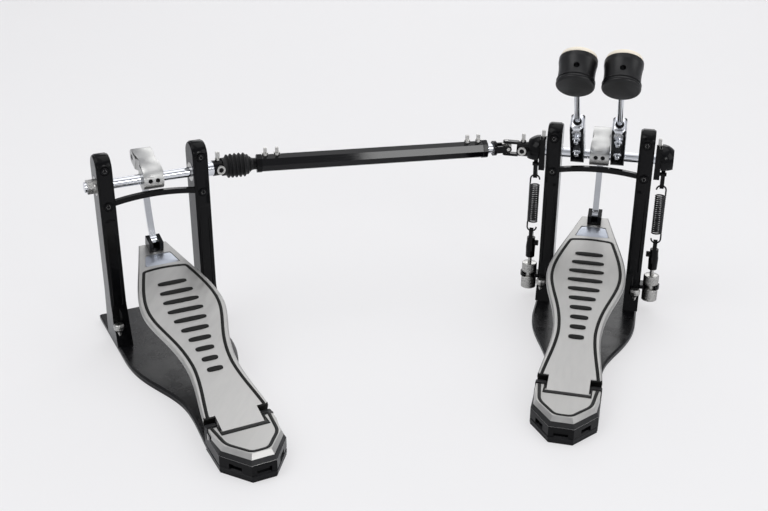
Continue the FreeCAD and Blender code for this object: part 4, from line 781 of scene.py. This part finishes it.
def boot():
    """A bellows bent at the joint, from the hub's axis to the link's; in mm along it, s.

    The centre line is a quadratic bend. On the ribs the radius is
    12.8 + 1.1 cos(2 pi s / BOOT_RIB_PITCH). It swells by 0.6 at the middle, and runs out to a sleeve on the
    hub and a neck on the link.
    """
    bend = LINK_TURN - SECOND_TURN
    hub_end = -BOOT_ON_HUB * np.array([cos(bend), -sin(bend), 0.0])
    line = quarter(hub_end, np.zeros(3), np.array([BOOT_ON_LINK, 0.0, 0.0]), 161)
    run = np.concatenate([[0.0], np.cumsum(np.linalg.norm(np.diff(line, axis=0), axis=1))])
    s = run - BOOT_ON_HUB
    swell = 0.6 * np.cos(pi * np.clip((s - 2.0) / 28.0, -0.5, 0.5))
    ribs = 12.8 + 1.1 * np.cos(2 * pi * s / BOOT_RIB_PITCH) + swell
    into = np.clip((s + 13.0) / 3.0, 0, 1)
    away = np.clip((s - 12.5) / 7.0, 0, 1)
    radius = 10.7 * (1 - into) + ribs * into * (1 - away) + 7.3 * away
    return tube(line, radius, 72)[1:-1]


def hub_socket_shade(along):
    """The socket of the screw that faces the player on a drive hub, set on its disc, drawn black as painted
    shade for the socket's depth.
    """
    line = [(-11.82, 2.9), (-12.1, 2.7), (-12.1, 2.3), (-11.86, 2.1), (-11.86, CLOSED)]
    return turned(line, 24, 1) + np.array([along, 0.0, AXLE_Z])


def rod_sleeve():
    """Bright skin of the rod that slides in the tube, turned about the link."""
    return turned([(LINK_LENGTH - 134.0, 6.05), (LINK_LENGTH - 18.0, 6.05)], 48, 0)


def tube_ends():
    """Eight-sided collars on both ends of the tube, an edge upwards."""
    grids = []
    for at, way in ((25.0, 1.0), (LINK_LENGTH - 26.0, -1.0)):
        line = [(at, 6.4), (at, 11.1), (at + way * 0.4, 11.5), (at + way * 6.0, 11.5), (at + way * 6.5, 10.7)]
        grids.append(turned(line, 8, 0))
    return grids


def claw_dress():
    """A black sleeve below the claw with a round knob on its side, drawn about the rod."""
    sleeve = turned(rounded_profile([(56.2, 2.6), (56.2, 5.6), (71.0, 6.0), (83.6, 4.6)], 1.0), 40, 2)
    knob = turned(rounded_profile([(4.0, 3.6), (9.0, 3.6), (9.6, 3.0), (9.6, CLOSED)], 0.6), 28, 0)
    return [sleeve, knob * np.array([-1.0, 1.0, 1.0]) + np.array([0.0, 0.0, 76.0])]


def thread_sleeve():
    """The bright threaded rod between claw and nut: the radius is a saw wave of 1.25 mm pitch."""
    z = np.linspace(18.2, 56.0, 400)
    line = np.stack([z, 2.42 + 0.16 * np.abs((z / 1.25) % 1.0 - 0.5)], -1)
    return turned(line, 24, 2)


for hand, side in (("right", 1.0), ("left", -1.0)):
    mirror = np.array([side, 1.0, 1.0])
    shift = np.array([side * SPRING_X, 0.0, 0.0])
    rod = hand + "_hook_rod"
    coil = [(tube(spring_line(), WIRE_R, 10) * mirror + shift, True)]
    wire = piece(hand + "_spring_wire", coil, spring_black, None, [hand + "_spring"], 60.0)
    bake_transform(wire)
    nut = [(grid + shift, True) for grid in tension_nut()]
    piece(hand + "_knurled_nut", nut, zinc, hand + "_tension_nut", [hand + "_tension_nut"])
    claw = [(grid * mirror + shift, True) for grid in claw_dress()]
    piece(hand + "_claw_dress", claw, coat, rod)
    thread = [(thread_sleeve() * mirror + shift, True)]
    piece(hand + "_thread", thread, zinc, rod)
# The bellows is round about a bent line that stands still while the shafts in it turn.
piece("ribbed_boot", carried(on_link, [boot()]), rubber, "second_frame", ["link_boot"], 60.0)
# painted shade: black socket discs on the silver hub screws stand in for the shade in their sockets
piece("left_hub_socket", [(hub_socket_shade(-94.0), True)], coat, "left_axle")
piece("second_hub_socket", carried(on_second, [hub_socket_shade(80.0)]), coat, "second_axle")
piece("rod_sleeve", carried(on_link, [rod_sleeve()]), chrome, "link_rod")
piece("tube_ends", carried(on_link, tube_ends()), coat, "link_tube", (), 20.0)

# Stage, light and camera

FLOOR_HALF = 60.0
BACKDROP_TOP = 3.4
FLOOR_END = 2.2
FLOOR_BEND = 1.6
FLOOR_DROP = 0.0004
PAPER_GLOW = 0.6


def stage_floor():
    """A level sheet that curves up far behind the object into a plain, tall backdrop."""
    bend = np.linspace(0, pi / 2, 24)[1:]
    level = np.linspace(-FLOOR_HALF, FLOOR_END, 12)
    upright = np.linspace(FLOOR_BEND, BACKDROP_TOP, 7)[1:]
    run = np.concatenate([level, FLOOR_END + FLOOR_BEND * np.sin(bend), np.full(6, FLOOR_END + FLOOR_BEND)])
    rise = np.concatenate([np.zeros(12), FLOOR_BEND * (1 - np.cos(bend)), upright])
    across = np.linspace(-FLOOR_HALF, FLOOR_HALF, 9)
    points = np.stack([np.tile(across, (len(run), 1)), np.repeat(run[:, None], 9, 1),
                       np.repeat(rise[:, None], 9, 1) - FLOOR_DROP], -1)
    index = np.arange(len(run) * 9).reshape(len(run), 9)
    quads = np.stack([index[:-1, :-1], index[:-1, 1:], index[1:, 1:], index[1:, :-1]], -1).reshape(-1, 4)
    mesh = bpy.data.meshes.new("floor")
    mesh.from_pydata(points.reshape(-1, 3).tolist(), [], quads.tolist())
    mesh.shade_smooth()
    sheet = bpy.data.objects.new("floor", mesh)
    bpy.context.scene.collection.objects.link(sheet)
    return sheet


def paper():
    """Pale paper that the camera sees with an even glow of its own colour, so that shadows stay faint."""
    made = finish_of("studio_paper", "e6e6e7", "e9e9ea", 0.0, 0.9, 0.02, 400.0)
    tree = made.node_tree
    seen = add(tree, "ShaderNodeLightPath")
    even = add(tree, "ShaderNodeEmission", values={"Color": srgb("f2f1f2")})
    share = add(tree, "ShaderNodeMath", {"operation": "MULTIPLY"}, {1: PAPER_GLOW},
                [(0, seen, "Is Camera Ray")])
    mixed = add(tree, "ShaderNodeMixShader", links=[
        (0, share, 0), (1, tree.nodes["Principled BSDF"], 0), (2, even, 0)])
    tree.links.new(mixed.outputs[0], tree.nodes["Material Output"].inputs["Surface"])
    return made


floor = stage_floor()
floor.data.materials.append(paper())

world = bpy.data.worlds.new("studio")
world.use_nodes = True
bpy.context.scene.world = world
sky = world.node_tree
glow = sky.nodes["Background"]
aim = add(sky, "ShaderNodeTexCoord")
split = add(sky, "ShaderNodeSeparateXYZ", links=[("Vector", aim, "Generated")])
fade = add(sky, "ShaderNodeValToRGB", links=[("Fac", split, "Z")])
for stop, tone in ((0.5, "d2d3d7"), (0.7, "a2a4aa"), (0.88, "f4f5fa")):
    fade.color_ramp.elements.new(stop).color = srgb(tone)
fade.color_ramp.elements[0].color = srgb("d8d9dc")
fade.color_ramp.elements[-1].color = srgb("fbfbff")
sky.links.new(fade.outputs["Color"], glow.inputs["Color"])
glow.inputs["Strength"].default_value = 0.8


def soft_box(name, at, aim_at, wide, high, watts):
    """A rectangular soft light that faces a point."""
    lamp = bpy.data.lights.new(name, "AREA")
    lamp.shape = "RECTANGLE"
    lamp.size = wide
    lamp.size_y = high
    lamp.energy = watts
    holder = bpy.data.objects.new(name, lamp)
    holder.location = at
    holder.rotation_euler = (Vector(aim_at) - Vector(at)).to_track_quat("-Z", "Y").to_euler()
    bpy.context.scene.collection.objects.link(holder)


soft_box("key", (-1.3, -1.2, 2.2), (-0.2, -0.1, 0.1), 1.6, 1.6, 18.0)
soft_box("top", (0.2, 0.6, 2.4), (-0.2, -0.1, 0.1), 2.0, 2.0, 11.0)
soft_box("side", (1.8, -0.4, 1.2), (-0.1, -0.1, 0.15), 1.2, 1.2, 6.5)
soft_box("front", (1.06, -1.38, 1.06), (-0.2, -0.05, 0.2), 0.5, 0.34, 5.5)
soft_box("rear", (-0.6, 3.0, 1.9), (-0.2, -0.2, 0.05), 3.2, 1.6, 28.0)

CAMERA_AT = Vector((0.05124, -1.24977, 0.60122))
CAMERA_YAW = radians(-14.5)
CAMERA_PITCH = radians(23.68)
CAMERA_ROLL = radians(0.18)
FOCAL_PIXELS = 1048.74
IMAGE_WIDE = 768
look = Vector((sin(CAMERA_YAW) * cos(CAMERA_PITCH), cos(CAMERA_YAW) * cos(CAMERA_PITCH), -sin(CAMERA_PITCH)))
lens = bpy.data.cameras.new("camera")
lens.sensor_width = 36.0
lens.lens = FOCAL_PIXELS * 36.0 / IMAGE_WIDE
camera = bpy.data.objects.new("camera", lens)
turn_to = look.to_track_quat("-Z", "Y").to_matrix().to_4x4() @ Matrix.Rotation(CAMERA_ROLL, 4, "Z")
camera.matrix_world = Matrix.Translation(CAMERA_AT) @ turn_to
bpy.context.scene.collection.objects.link(camera)
bpy.context.scene.camera = camera
bpy.context.scene.view_settings.view_transform = "Standard"
